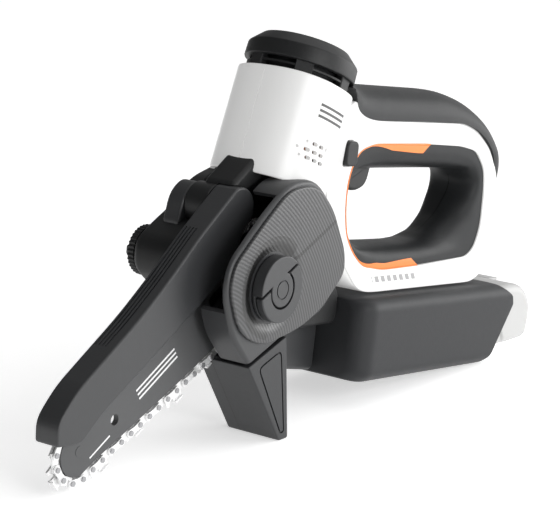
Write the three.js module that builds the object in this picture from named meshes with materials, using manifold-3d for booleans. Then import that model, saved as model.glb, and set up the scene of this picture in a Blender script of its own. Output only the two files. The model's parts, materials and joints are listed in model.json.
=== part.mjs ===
// Compact cordless pruning chainsaw, in millimetres, +Z up.
// Each piece is drawn in the tool's own axes: origin on the knob's axis in the seam plane, +X to the battery,
// +Z up from the battery housing, -Y to the tool's left. The whole tool is then pitched onto its two feet.
import * as THREE from "three";
import { mergeVertices } from "three/addons/utils/BufferGeometryUtils.js";
import Module from "manifold-3d";

const wasm = await Module();
wasm.setup();

// ---- driving dimensions ----
const gap = 0.4; // between fixed neighbours
const runGap = 0.5; // between pieces that move on each other
const seam = 0.15; // each half stops this far from the seam plane

const barTilt = 35.5; // degrees the bar points down
const barThickness = 3.4;
const barPlaneY = -8;
const barNoseAt = 148;
const barNoseRadius = 13;
const barTailAt = -11;
const barSlotHalf = 4.6;
const noseSlot = 1.7;
const noseSprocketThickness = 1;
const chainWidth = 6;
const chainHeight = 5.4;
const chainPitch = 8.255;
const cutterHeight = 2.2;

const sprocketAt = -30; // along the bar from the knob axis
const sprocketTeeth = 6;
const shaftRadius = 5;
const pinionTeeth = 6;
const gearTeeth = 18;
const pinionRadius = 4;

const motorLean = 16.5; // degrees the motor leans back
const motorRadius = 33;
const motorWall = 3;
const motorFrom = 43;
const motorTo = 102;
const ventHeight = 7;
const capHeight = 14.5;
const capChamfer = 7;
const rotorRadius = 15;

const hingeX = -9;
const hingeZ = 41;
const lobeRadius = 12.5;
const guardLeft = -16;
const guardRight = 0;
const guardWall = 2.6;
const hingePinRadius = 3;

const coverFace = -36;
const coverRim = -16.6;
const coverWall = 2.6;
const inlayProud = 1.6;
const knobRadius = 19;
const knobFace = -44;
const knobBoss = 10;
const wingHinge = 3.6;
const wingThickness = 4;
const wingAngle = 31;
const studRadius = 4;

const handleHalf = 20;
const handleBottom = -11.8;
const linerHalf = 17;
const gripTop = 113;
const triggerHalf = 7.5;

const housingHalf = 40;
const housingTop = -12.2;
const housingBottom = -65;
const housingRear = 252;
const packHalf = 36;
const packRear = 313;
const packFront = 156;
const neckHalf = 34;
const neckEnd = 95.6;

const footX = 33;
const footZ = -90;

const DARK = 0x2f3134;
const WHITE = 0xf0f0ee;
const ORANGE = 0xf5862f;
const STEEL = 0x9a9da0;
const BARGREY = 0x6c6e70;
const BLACK = 0x1b1c1e;
const PALE = 0xdededd;
const COPPER = 0xb8713c;
const BOARD = 0x2d6a45;

// ---- helpers ----
const rad = Math.PI / 180;
const tool = new THREE.Group();

function solid(geometry) {
  const bare = geometry.clone();
  bare.deleteAttribute("normal");
  bare.deleteAttribute("uv");
  const merged = mergeVertices(bare, 1e-4);
  const triVerts = new Uint32Array(merged.index.array);
  const vertProperties = merged.attributes.position.array;
  const make = () => new wasm.Manifold(new wasm.Mesh({ numProp: 3, vertProperties, triVerts }));
  const made = make();
  if (made.volume() > 0) return made;
  for (let i = 0; i < triVerts.length; i += 3) {
    const first = triVerts[i];
    triVerts[i] = triVerts[i + 1];
    triVerts[i + 1] = first;
  }
  return make();
}

function add(name, body, colour) {
  const mesh = body.getMesh();
  const geometry = new THREE.BufferGeometry();
  geometry.setAttribute("position", new THREE.BufferAttribute(mesh.vertProperties, 3));
  geometry.setIndex(new THREE.BufferAttribute(mesh.triVerts, 1));
  geometry.computeVertexNormals();
  const material = new THREE.MeshStandardMaterial({ color: colour, roughness: 0.5 });
  const node = new THREE.Mesh(geometry, material);
  node.name = name;
  tool.add(node);
  return body;
}

// A closed outline through [x, z] corners; a third number is how far back its rounding starts.
function outline(corners) {
  const shape = new THREE.Shape();
  const count = corners.length;
  corners.forEach(([x, z, round = 0], i) => {
    const corner = new THREE.Vector2(x, z);
    const last = corners[(i + count - 1) % count];
    const next = corners[(i + 1) % count];
    const back = new THREE.Vector2(last[0] - x, last[1] - z);
    const ahead = new THREE.Vector2(next[0] - x, next[1] - z);
    const reach = Math.min(round, back.length() * 0.49, ahead.length() * 0.49);
    const start = corner.clone().addScaledVector(back.normalize(), reach);
    const end = corner.clone().addScaledVector(ahead.normalize(), reach);
    if (i === 0) shape.moveTo(start.x, start.y);
    else shape.lineTo(start.x, start.y);
    if (reach > 0) shape.quadraticCurveTo(x, z, end.x, end.y);
  });
  shape.closePath();
  return shape;
}

// An outline in (x, z) carried along Y from y0 to y1, with its two rims bevelled.
function prism(shape, y0, y1, bevel = 0, segments = 2) {
  const geometry = new THREE.ExtrudeGeometry(shape, {
    depth: y1 - y0 - 2 * bevel,
    bevelEnabled: bevel > 0,
    bevelThickness: bevel,
    bevelSize: bevel,
    bevelOffset: -bevel,
    bevelSegments: 1,
    curveSegments: segments,
  });
  geometry.rotateX(Math.PI / 2);
  geometry.translate(0, y1 - bevel, 0);
  return solid(geometry);
}

function box(x0, x1, y0, y1, z0, z1) {
  const geometry = new THREE.BoxGeometry(x1 - x0, y1 - y0, z1 - z0);
  geometry.translate((x0 + x1) / 2, (y0 + y1) / 2, (z0 + z1) / 2);
  return solid(geometry);
}

// A turned profile of [radius, height] corners about Y.
function turned(profile, segments) {
  const points = profile.map(([r, h]) => new THREE.Vector2(r, h));
  return new THREE.LatheGeometry([...points, points[0].clone()], segments);
}

const ring = (inner, outer, y0, y1) => [
  [inner, y0],
  [outer, y0],
  [outer, y1],
  [inner, y1],
];
const rod = (radius, y0, y1, segments) => {
  const geometry = new THREE.CylinderGeometry(radius, radius, y1 - y0, segments);
  geometry.translate(0, (y0 + y1) / 2, 0);
  return geometry;
};
const across = (geometry, x, z) => solid(geometry.translate(x, 0, z));

// (along the bar, square to it) to the tool's (x, z)
const along = Math.cos(barTilt * rad);
const drop = Math.sin(barTilt * rad);
const head = (s, t, round) => [-along * s - drop * t, -drop * s + along * t, round ?? 0];
const [shaftX, shaftZ] = head(sprocketAt, 0);
const onMotor = (geometry) => {
  geometry.rotateX(Math.PI / 2);
  geometry.rotateY(motorLean * rad);
  return solid(geometry.translate(shaftX, 0, shaftZ));
};
const motorRod = (radius, a0, a1, segments) => onMotor(rod(radius, a0, a1, segments));

function toothed(teeth, outer, root, share) {
  const corners = [];
  for (let i = 0; i < teeth; i += 1) {
    const turn = (i / teeth) * 2 * Math.PI;
    const half = (share * Math.PI) / teeth;
    const foot = half * 1.5;
    corners.push([turn - foot, root], [turn - half, outer], [turn + half, outer], [turn + foot, root]);
  }
  const point = ([angle, r]) => new THREE.Vector2(r * Math.cos(angle), r * Math.sin(angle));
  return new THREE.Shape(corners.map(point));
}

// A bevel wheel about Y whose teeth shrink towards the axes' crossing; its large end is at height far.
function bevelWheel(teeth, pitch, far, near, turn) {
  const shape = toothed(teeth, pitch + 0.3, pitch - 0.8, 0.28);
  const geometry = new THREE.ExtrudeGeometry(shape, { depth: far - near, bevelEnabled: false });
  const position = geometry.attributes.position;
  for (let i = 0; i < position.count; i += 1) {
    const height = near + position.getZ(i);
    const shrink = height / far;
    position.setXYZ(i, position.getX(i) * shrink, position.getY(i) * shrink, height);
  }
  geometry.rotateX(-Math.PI / 2);
  geometry.rotateY(turn);
  return geometry;
}

const half = 400;
const leftSide = box(-half, half, -half, -seam, -half, half);
const rightSide = box(-half, half, seam, half, -half, half);

// ---- guide bar, nose sprocket and chain ----
const barLeft = barPlaneY - barThickness / 2;
const barRight = barPlaneY + barThickness / 2;
const barHalf = [
  [barTailAt, 17],
  [2, 24.5],
  [28, 25],
  [67, 21.5],
  [115, 16],
  [139, barNoseRadius + 0.2],
];
const noseArc = (radius) =>
  [-75, -45, -15, 15, 45, 75].map((turn) => [
    barNoseAt + radius * Math.cos(turn * rad),
    radius * Math.sin(turn * rad),
  ]);
const barOutline = (grow) => [
  ...barHalf.map(([s, t]) => head(s, t + grow)).reverse(),
  ...barHalf.map(([s, t]) => head(s, -t - grow)),
  ...noseArc(barNoseRadius + grow).map(([s, t]) => head(s, t)),
];
const slotShape = outline([
  head(-6, barSlotHalf, 4),
  head(24, barSlotHalf, 4),
  head(24, -barSlotHalf, 4),
  head(-6, -barSlotHalf, 4),
]);
const [noseX, noseZ] = head(barNoseAt - 1.5, 0);
const [holeX, holeZ] = head(117, -3.8);
add(
  "guide_bar",
  prism(outline(barOutline(0)), barLeft, barRight)
    .subtract(prism(slotShape, -half, half))
    .subtract(across(rod(3.1, -20, 20, 12), holeX, holeZ))
    .subtract(across(rod(3.4, -20, 20, 12), noseX, noseZ))
    .subtract(
      prism(
        outline([head(133.5, 30), head(170, 30), head(170, -30), head(133.5, -30)]),
        barPlaneY - noseSlot / 2,
        barPlaneY + noseSlot / 2,
      ),
    ),
  BARGREY,
);
const noseWheel = new THREE.ExtrudeGeometry(toothed(9, 12.2, 9.6, 0.42), {
  depth: noseSprocketThickness,
  bevelEnabled: false,
});
noseWheel.rotateX(Math.PI / 2);
noseWheel.translate(0, barPlaneY + noseSprocketThickness / 2, 0);
const noseBore = across(rod(3.4, -20, 20, 12), noseX, noseZ);
add("nose_sprocket", across(noseWheel, noseX, noseZ).subtract(noseBore), STEEL);
add("nose_hub", across(rod(3, barLeft - 0.2, barRight + 0.2, 12), noseX, noseZ), STEEL);

const driveRadius = 13.1;
const wrapArc = (radius) =>
  [100, 125, 150, 180, 210, 235, 260].map((turn) => [
    sprocketAt + radius * Math.cos(turn * rad),
    radius * Math.sin(turn * rad),
  ]);
const loopOutline = (grow) =>
  outline([
    ...wrapArc(driveRadius + grow - gap).map(([s, t]) => head(s, t)),
    ...barHalf.slice(1).map(([s, t]) => head(s, -t - grow)),
    ...noseArc(barNoseRadius + grow).map(([s, t]) => head(s, t)),
    ...barHalf.slice(1).map(([s, t]) => head(s, t + grow)).reverse(),
  ]);
const chainNear = barPlaneY - chainWidth / 2;
const chainFar = barPlaneY + chainWidth / 2;
let chain = prism(loopOutline(gap + chainHeight), chainNear, chainFar).subtract(
  prism(loopOutline(gap), -half, half),
);
const cutterRun = 4 * chainPitch;
for (let i = 0; i < 4; i += 1) {
  for (const side of [1, -1]) {
    const s = 14 + i * cutterRun;
    const edge = 27.2 - 0.115 * s + gap + chainHeight;
    const cutter = outline([
      head(s - 5, side * (edge - 3)),
      head(s + 5, side * (edge - 4)),
      head(s + 5, side * (edge + cutterHeight - 1.2)),
      head(s - 5, side * (edge + cutterHeight - 1.4)),
    ]);
    chain = chain.add(prism(cutter, barPlaneY - chainWidth / 2, barPlaneY + chainWidth / 2));
  }
}
add("saw_chain", chain, STEEL);

// ---- drive sprocket, its shaft and the bevel gears ----
const driveWheel = new THREE.ExtrudeGeometry(toothed(sprocketTeeth, 12.6, 9.4, 0.4), {
  depth: 6,
  bevelEnabled: false,
});
driveWheel.rotateX(Math.PI / 2);
driveWheel.translate(0, barPlaneY + 3, 0);
add(
  "drive_sprocket",
  across(driveWheel, shaftX, shaftZ)
    .add(across(rod(8, -15.2, -11, 16), shaftX, shaftZ))
    .subtract(across(rod(shaftRadius + 0.2, -30, 30, 16), shaftX, shaftZ)),
  STEEL,
);
const shaftProfile = [
  [0, -19],
  [shaftRadius, -19],
  [shaftRadius, -17],
  [3.6, -17],
  [3.6, -15.6],
  [shaftRadius, -15.6],
  [shaftRadius, 23.6],
  [0, 23.6],
];
const shaftPoints = shaftProfile.map(([r, h]) => new THREE.Vector2(r, h));
add("output_shaft", across(new THREE.LatheGeometry(shaftPoints, 16), shaftX, shaftZ), STEEL);
add("sprocket_clip", across(turned(ring(3.9, 8, -16.8, -15.9), 16), shaftX, shaftZ), STEEL);
add("output_bearing_left", across(turned(ring(5.3, 8.2, -4.2, 1), 12), shaftX, shaftZ), STEEL);
add("output_bearing_right", across(turned(ring(5.3, 11, 17, 23), 12), shaftX, shaftZ), STEEL);
const ratio = gearTeeth / pinionTeeth;
const gearRadius = pinionRadius * ratio;
const gearTurn = (motorLean - 90) * rad - Math.PI / gearTeeth;
const gearWheel = solid(bevelWheel(gearTeeth, gearRadius, pinionRadius, pinionRadius - 1.2, gearTurn))
  .add(solid(rod(gearRadius - 1, pinionRadius - 0.2, 10, 16)))
  .translate([shaftX, 0, shaftZ]);
add("bevel_gear", gearWheel.subtract(across(rod(5.2, -30, 30, 16), shaftX, shaftZ)), STEEL);
const pinionTurn = Math.PI / 2;
const pinion = onMotor(bevelWheel(pinionTeeth, pinionRadius, gearRadius, gearRadius - 3.6, pinionTurn));
const pinionHub = motorRod(4.4, gearRadius + 0.6, 22, 12);
const pinionNeck = motorRod(3, gearRadius - 0.5, gearRadius + 1, 12);
add("bevel_pinion", pinion.add(pinionNeck).add(pinionHub).subtract(motorRod(2.8, 14.4, 40, 12)), STEEL);

// ---- motor ----
add("motor_shaft", motorRod(2.5, 14.8, 114, 12), STEEL);
const motorRing = (inner, outer, a0, a1, segments) => onMotor(turned(ring(inner, outer, a0, a1), segments));
add("motor_bearing_bottom", motorRing(2.8, 8, 30, 36, 16), STEEL);
add("motor_bearing_top", motorRing(2.8, 8, 104, 110, 16), STEEL);
add("rotor", motorRing(2.8, rotorRadius, 56, 86, 16), COPPER);
let stator = motorRing(18.5, motorRadius - motorWall - gap, 54, 88, 20);
for (let i = 0; i < 6; i += 1) {
  const pole = new THREE.BoxGeometry(5, 26, 5);
  pole.translate(17.8, 71, 0);
  pole.rotateY((i * Math.PI) / 3);
  stator = stator.add(onMotor(pole));
}
add("stator", stator, COPPER);
let fan = motorRing(2.8, 7, 92, 99, 16).add(motorRing(6, 26, 92, 93.5, 16));
for (let i = 0; i < 6; i += 1) {
  const blade = new THREE.BoxGeometry(19, 5, 1.4);
  blade.translate(14.6, 95.5, 0);
  blade.rotateY((i * Math.PI) / 3 + 0.1);
  fan = fan.add(onMotor(blade));
}
add("cooling_fan", fan, BLACK);

const ventFrom = motorTo + gap;
const ventTo = motorTo + ventHeight - gap;
let vent = motorRing(26, 30.5, ventTo - 1.6, ventTo, 20);
for (let i = 0; i < 6; i += 1) {
  const post = new THREE.BoxGeometry(4, ventTo - ventFrom, 9);
  post.translate(27.9, (ventFrom + ventTo) / 2, 0);
  post.rotateY(((i + 0.5) * Math.PI) / 3);
  vent = vent.add(onMotor(post));
}
const spider = new THREE.BoxGeometry(54, 2.4, 7);
spider.translate(0, ventTo - 1.2, 0);
vent = vent.add(onMotor(spider)).add(motorRod(10.5, ventFrom, ventTo, 16));
const ventSeat = motorRod(8.3, ventFrom + 1.2, ventTo + 5, 16);
add("vent_ring", vent.subtract(ventSeat).subtract(motorRod(3, 90, 120, 12)), DARK);
const capFrom = motorTo + ventHeight;
const capTo = capFrom + capHeight;
const capProfile = [
  [0, capTo],
  [motorRadius - capChamfer, capTo],
  [motorRadius, capTo - capChamfer],
  [motorRadius, capFrom],
  [motorRadius - 2.5, capFrom],
  [motorRadius - 2.5, capTo - capChamfer - 1],
  [motorRadius - capChamfer - 1.5, capTo - 2.6],
  [12, capTo - 2.6],
  [12, capFrom + 1.4],
  [8.4, capFrom + 1.4],
  [8.4, capTo - 2.6],
  [0, capTo - 2.6],
];
const capPoints = capProfile.map(([r, h]) => new THREE.Vector2(r, h));
add("motor_end_cap", onMotor(new THREE.LatheGeometry(capPoints, 28)), DARK);

// ---- white shells: motor barrel and D handle in one moulding each ----
const rimCorners = (inset) => [
  [89 + inset, 54, 10],
  [98 + inset, 79 - inset, 9],
  [232 - inset, 79 - inset, 16],
  [256 - inset, 52, 14],
  [250 - inset, 3 + inset, 16],
  [112 + inset, 2 + inset, 18],
];
const handleCorners = [
  [84, 106, 2],
  [108, 92.6, 8],
  [216, 92.6, 22],
  [256, 78, 16],
  [272, 50, 12],
  [266, 4, 8],
  [252, handleBottom, 6],
  [98, handleBottom, 4],
  [82, 14, 8],
  [60, 52, 8],
  [44, 66],
  [60, 96],
];
const handleShape = outline(handleCorners);
const saddle = outline([
  [44, 66],
  [60, 52, 8],
  [76, 26, 4],
  [78, 60, 6],
  [70, 95, 4],
  [50, 92],
]);
const lowerRim = outline([
  [104, handleBottom, 4],
  [253, handleBottom, 6],
  [262, 1, 4],
  [250, 1.6, 2],
  [106, 1.6, 2],
  [96, -4, 2],
]);
const rearColumn = outline([
  [262, 72, 4],
  [276, 60, 8],
  [283, 50, 6],
  [281, 4, 10],
  [262, -2, 4],
]);
const rearColumnClear = outline([
  [261.5, 73, 4],
  [276.6, 60.8, 8],
  [283.6, 50, 6],
  [281.4, 3, 10],
  [261.5, -3, 4],
]);
const barrelBore = motorRod(motorRadius - motorWall, 20, motorTo + 20, 28);
const switchBay = box(101, 148, -10, 10, 76, 90);
const lockHole = box(78.6, 91.4, -60, 60, 65.6, 81.4);
const shells = motorRod(motorRadius, motorFrom, motorTo, 28)
  .add(prism(handleShape, -handleHalf, handleHalf, 1.5))
  .add(prism(saddle, -29, 29))
  .add(prism(lowerRim, -27, 27))
  .add(prism(rearColumn, -9, 9))
  .subtract(prism(outline(rimCorners(0)), -half, half))
  .subtract(barrelBore)
  .subtract(motorRod(60, motorTo, motorTo + 60, 8))
  .subtract(switchBay)
  .subtract(box(104, 138, -8.6, 8.6, 60, 80))
  .subtract(lockHole);
add("shell_left", shells.intersect(leftSide), WHITE);
add("shell_right", shells.intersect(rightSide), WHITE);

const gripShape = (lower) => outline([
  [88, 105.5, 2],
  [93 + lower, 112 - lower, 5],
  [105, gripTop - lower, 4],
  [205, gripTop - lower, 20],
  [262 - lower / 2, 93 - lower / 2, 16],
  [290 - lower * 0.5, 61, 1],
  [281, 60, 1],
  [273.6, 52, 2],
  [257, 79, 16],
  [217, 93, 22],
  [108.5, 93, 8],
]);
const grip = prism(gripShape(0), -9, 9)
  .add(prism(gripShape(3), -14, 14))
  .add(prism(gripShape(7), -18.6, 18.6));
add("grip_top", grip.subtract(prism(rearColumnClear, -10, 10)), BLACK);

const triggerPivot = [108.5, 71];
const linerShape = outline(rimCorners(gap));
const handOpening = outline([
  [95, 50, 6],
  [101, 62, 5],
  [238, 62, 10],
  [242, 46, 10],
  [226, 16, 16],
  [112, 16, 14],
]);
add(
  "handle_liner",
  prism(linerShape, -linerHalf, linerHalf, 1)
    .subtract(prism(handOpening, -half, half))
    .subtract(box(104, 138, -8.2, 8.2, 50, 90))
    .subtract(across(rod(1.8, -20, 20, 12), ...triggerPivot)),
  BLACK,
);

// orange inlays in the opening's rim
const upperTrim = outline([
  [99, 64, 1],
  [104, 74, 4],
  [178, 76.4, 1],
  [178, 74.6],
  [108, 70.6, 4],
  [101, 62],
]);
const lowerTrim = outline([
  [98, 38],
  [106, 15, 8],
  [122, 6.6, 4],
  [179, 5, 1],
  [179, 6.8, 1],
  [124, 10.4, 6],
  [101, 38],
]);
for (const [side, y0, y1] of [
  ["left", -handleHalf + 0.4, -linerHalf - gap],
  ["right", linerHalf + gap, handleHalf - 0.4],
]) {
  add(`trim_upper_${side}`, prism(upperTrim, y0, y1), ORANGE);
  add(`trim_lower_${side}`, prism(lowerTrim, y0, y1), ORANGE);
}

// ---- trigger, its spring and switch, and the lock button ----
const triggerShape = outline([
  [106, 75, 2],
  [134, 74, 2],
  [133, 64],
  [130, 51, 3],
  [119, 48, 6],
  [107, 51, 3],
]);
add(
  "trigger",
  prism(triggerShape, -triggerHalf, triggerHalf, 1).subtract(across(rod(1.8, -20, 20, 12), ...triggerPivot)),
  DARK,
);
add("trigger_pin", across(rod(1.5, -9.4, 9.4, 12), ...triggerPivot), STEEL);
add("trigger_switch", box(118, 146, -8.5, 8.5, 80.5, 89.6), BLACK);
const coil = (radius, turns, rise) => {
  class Helix extends THREE.Curve {
    getPoint(u, target = new THREE.Vector3()) {
      const angle = u * turns * 2 * Math.PI;
      return target.set(radius * Math.cos(angle), radius * Math.sin(angle), u * rise);
    }
  }
  return new Helix();
};
const wireSides = 5;
const wire = (radius) => {
  const turn = (i) => (i * 2 * Math.PI) / wireSides;
  const point = (_, i) => new THREE.Vector2(Math.cos(turn(i)), Math.sin(turn(i))).multiplyScalar(radius);
  return new THREE.Shape(Array.from({ length: wireSides }, point));
};
const springOf = (coilRadius, turns, rise, wireRadius) =>
  new THREE.ExtrudeGeometry(wire(wireRadius), {
    steps: Math.round(turns * 9),
    extrudePath: coil(coilRadius, turns, rise),
  });
add("trigger_spring", solid(springOf(2.4, 3, 3.6, 0.35).translate(127, 0, 75.6)), STEEL);
add("lock_button", box(79, 91, -24, 20.4, 66, 81), DARK);

// ---- gear housing: dark halves with the neck to the battery housing ----
const gearCorners = [
  [-30, 22, 8],
  [-12, 38, 4],
  [2, 54, 4],
  [30, 66, 5],
  [57, 50, 6],
  [79.6, 13, 8],
  [neckEnd, -12.8],
  [neckEnd, -62, 6],
  [41, -56, 8],
  [21.5, -28.2, 3],
  [-13, -44, 3],
  [-30, -26, 6],
  [-38, -4, 8],
];
const coverCorners = (grow) => [
  [-42 - grow, -2, 8],
  [-40 - grow, 15 + grow, 8],
  [-13 - grow, 41 + grow, 6],
  [10, 60 + grow, 8],
  [37, 60 + grow, 8],
  [60 + grow, 38 + grow, 8],
  [75 + grow, 10, 8],
  [52 + grow, -18 - grow, 8],
  [20, -27.6 - grow, 3],
  [-13, -44 - grow, 3],
  [-32 - grow, -25 - grow, 8],
];
const tankFront = 1.2;
const tankCorners = [
  [tankFront - gap, 45],
  [-10, 36, 4],
  [-24, 27, 4],
  [-36, 20, 8],
  [-38, 4, 8],
  [-24, -6, 8],
  [tankFront - gap, -22],
];
const gearBay = across(rod(14, -1.2, 16, 16), shaftX, shaftZ);
const bearingBay = across(rod(11.3, 1, 23.6, 16), shaftX, shaftZ)
  .add(across(rod(8.5, -20, 30, 16), shaftX, shaftZ));
const pinionBay = motorRod(6.5, 6, 60, 12).add(motorRod(8.3, 29, 60, 12));
const armCorners = (grow) => [
  [-20.5 - grow, 46, 8],
  [-9, 54.4 + grow, 10],
  [3.5 + grow, 44, 8],
  [grow, 31 - grow, 8],
  [-14, 26.6 - grow, 5],
  [-25 - grow, 26.4 - grow, 4],
];
const guardClear = prism(
  outline([
    head(-30, 70),
    head(60, 70),
    head(60, 12.2),
    head(35, 12.2),
    head(20, 16.2),
    head(2, 23.2),
    head(-15, 25.4),
  ]),
  -half,
  0.6,
);
const bracketClear = prism(
  outline([
    [-18, 58],
    [-9.4, 43.2],
    [2, 49.3],
    [14.4, 55.2],
    [21, 61.4],
    [22, 80],
  ]),
  -11.5,
  15.4,
);
const hingeClear = across(rod(lobeRadius + 1, -40, 28.5, 20), hingeX, hingeZ);
const housingSolid = prism(outline(gearCorners), -neckHalf, neckHalf, 1)
  .subtract(prism(outline(coverCorners(0.8)), -half, -4.5))
  .subtract(gearBay)
  .subtract(bearingBay)
  .subtract(pinionBay)
  .subtract(hingeClear)
  .subtract(bracketClear)
  .subtract(guardClear)
  .subtract(motorRod(motorRadius + gap, motorFrom - gap, 120, 20))
  .subtract(box(43.4, 58.6, -0.2, 15.6, -22.6, -7.4))
  .subtract(box(60, 110, -26, 26, -50, -26));
const studHole = across(rod(studRadius + 0.2, -30, -1.2, 16), 0, 0);
add("gear_housing_left", housingSolid.subtract(studHole).intersect(leftSide), DARK);
add(
  "gear_housing_right",
  housingSolid.intersect(rightSide).subtract(box(-half, tankFront, 1.8, half, -half, half)),
  DARK,
);

// ---- oil tank with its cap ----
const capX = -21;
const capZ = 10;
const tankWallLeft = 2.2;
add(
  "oil_tank",
  prism(outline(tankCorners), tankWallLeft, 36, 1.5)
    .subtract(prism(outline(tankCorners.map(([x, z, r]) => [x * 0.86 - 2.6, z * 0.84 + 1, r])), 5, 33))
    .subtract(hingeClear)
    .subtract(prism(outline(armCorners(0.8)), 14.9, 27.6))
    .subtract(across(rod(9.4, 20, 50, 16), capX, capZ)),
  DARK,
);
add("oil_cap_gasket", across(turned(ring(9.7, 12, 36.3, 37), 16), capX, capZ), ORANGE);
const capTab = box(-33, -9, 41, 43, 7.4, 12.6);
add(
  "oil_cap",
  across(rod(14.6, 37.4, 41.4, 20), capX, capZ).add(across(rod(9, 24, 38, 16), capX, capZ)).add(capTab),
  DARK,
);
add("oil_pump", box(44, 58, 3, 15, -22, -8), STEEL);

// ---- guard bracket, guard and hinge ----
const bracketShape = outline([
  [10, 72, 3],
  [-12, 54.4, 3],
  [-9, 44],
  [2, 49.9],
  [14, 55.8],
  [20, 62],
]);
const bracket = prism(bracketShape, -11, 10.5, 1)
  .subtract(across(rod(lobeRadius + runGap, -40, 0.4, 20), hingeX, hingeZ))
  .add(across(rod(lobeRadius - 0.4, 0.5, 15, 20), hingeX, hingeZ))
  .subtract(across(rod(hingePinRadius + 0.3, -40, 40, 12), hingeX, hingeZ))
  .subtract(across(rod(7.6, 2.4, 13, 16), hingeX, hingeZ))
  .subtract(motorRod(motorRadius + gap, 20, 120, 28));
add("guard_bracket", bracket, DARK);

const guardCorners = [
  head(-16.5, 51.1, 2),
  head(18, 47.2, 6),
  head(51.4, 41.6, 6),
  head(81, 38.1, 6),
  head(138, 35.8, 10),
  head(157, 30, 6),
  head(163, 19.4, 4),
  head(147.6, 8.3, 4),
  head(127, 13, 3),
  head(36, 13, 2),
  head(22, 17, 3),
  head(2, 24, 4),
  head(-14, 26.2, 2),
];
const guardChannel = outline([
  head(-40, 0),
  head(-40, 28),
  head(-8, 33),
  head(12, 38.2),
  head(51, 36.6),
  head(81, 34),
  head(134, 30),
  head(156, 26),
  head(162, 12),
  head(170, 0),
]);
const channelHalf = (guardRight - guardLeft) / 2 - guardWall;
const guardMid = (guardLeft + guardRight) / 2;
const guard = prism(outline(guardCorners), guardLeft, guardRight, 0.8)
  .add(across(rod(lobeRadius, guardLeft, guardRight, 20), hingeX, hingeZ))
  .subtract(prism(guardChannel, guardMid - channelHalf, guardMid + channelHalf))
  .subtract(across(rod(hingePinRadius + 0.3, -40, 40, 12), hingeX, hingeZ));
add("chain_guard", guard, DARK);
const farArm = prism(outline(armCorners(0)), 15.5, 27, 1);
add("guard_far_arm", farArm.subtract(across(rod(hingePinRadius + 0.3, -40, 40, 12), hingeX, hingeZ)), DARK);
add("guard_pin", across(rod(hingePinRadius, guardLeft + 1, 26.4, 12), hingeX, hingeZ), STEEL);
const guardSpring = springOf(5.4, 4, 9, 0.7).rotateX(-Math.PI / 2).translate(hingeX, 3.2, hingeZ);
add("guard_spring", solid(guardSpring), STEEL);

// ---- side cover, its inlay, the tension knob and the clamping stud ----
const clampBoss = across(rod(13, -34.6, barLeft - gap, 16), 0, 0);
const cover = prism(outline(coverCorners(0)), coverFace, coverRim, 1.5)
  .subtract(prism(outline(coverCorners(-coverWall)), coverFace + coverWall, 40))
  .add(clampBoss)
  .subtract(across(rod(9.6, -60, -29.8, 20), 0, 0))
  .subtract(across(rod(studRadius + 0.6, -60, 0, 16), 0, 0));
add("side_cover", cover, DARK);
const inlayCorners = [
  [-38, -1, 8],
  [-36, 14, 8],
  [-12, 37, 8],
  [9, 54, 8],
  [34, 55.6, 8],
  [58, 34, 8],
  [70, 9, 8],
  [49, -16, 8],
  [16, -27, 12],
  [-14, -30, 8],
  [-30, -20, 8],
];
add(
  "cover_inlay",
  prism(outline(inlayCorners), coverFace - gap - inlayProud, coverFace - gap, 0.6).subtract(
    across(rod(knobRadius + 1.6, -60, 0, 28), 0, 0),
  ),
  BLACK,
);

const wingAxis = [Math.cos(wingAngle * rad), Math.sin(wingAngle * rad)];
const wingNormal = [-wingAxis[1], wingAxis[0]];
// (across the wing's hinge line u, square to it n) on the knob's face
const knobPoint = (u, n) => [u * wingAxis[0] + n * wingNormal[0], u * wingAxis[1] + n * wingNormal[1]];
const wingY = knobFace + wingThickness / 2 + 0.2;
// the part of the knob's face between two lines that run along the wing's hinge
const knobBand = (from, to) =>
  outline([knobPoint(-30, from), knobPoint(30, from), knobPoint(30, to), knobPoint(-30, to)]);
const wingEdge = wingHinge + 1.6;
// the wing's edge swings this far from its pin as the wing lifts
const wingSwing = Math.hypot(wingEdge - wingHinge, wingThickness / 2);
const raisedHalf = knobBand(wingHinge + wingSwing + runGap, 30);
const wingHalf = knobBand(wingEdge, -30);
const wingPinOf = (radius, reach) => {
  const geometry = new THREE.CylinderGeometry(radius, radius, 2 * reach, 12);
  geometry.rotateZ(Math.PI / 2);
  geometry.rotateY(-wingAngle * rad);
  const [x, z] = knobPoint(0, wingHinge);
  return solid(geometry.translate(x, wingY, z));
};
const knobBase = wingY + wingSwing + runGap;
const knobBack = coverFace - 0.8;
const knob = across(rod(knobRadius, knobBase, knobBack, 28), 0, 0)
  .add(across(rod(knobRadius, knobFace, knobBack, 28), 0, 0).intersect(prism(raisedHalf, -60, 0)))
  .add(across(rod(knobBoss, knobFace, knobBack, 20), 0, 0))
  .add(across(rod(9, knobBack - 0.5, -30.2, 20), 0, 0))
  .subtract(across(rod(studRadius + 0.3, -40.6, 0, 16), 0, 0))
  .subtract(wingPinOf(1.3, 30));
add("tension_knob", knob, DARK);
const wing = across(rod(knobRadius, wingY - wingThickness / 2, wingY + wingThickness / 2, 28), 0, 0)
  .intersect(prism(wingHalf, -60, 0))
  .subtract(across(rod(knobBoss + 1.4, -60, 0, 20), 0, 0))
  .subtract(wingPinOf(1.3, 30));
add("knob_wing", wing, DARK);
add("wing_pin", wingPinOf(1, 16.5), STEEL);
add("bar_stud", across(rod(studRadius, -39.6, -1.4, 16), 0, 0), STEEL);

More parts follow.
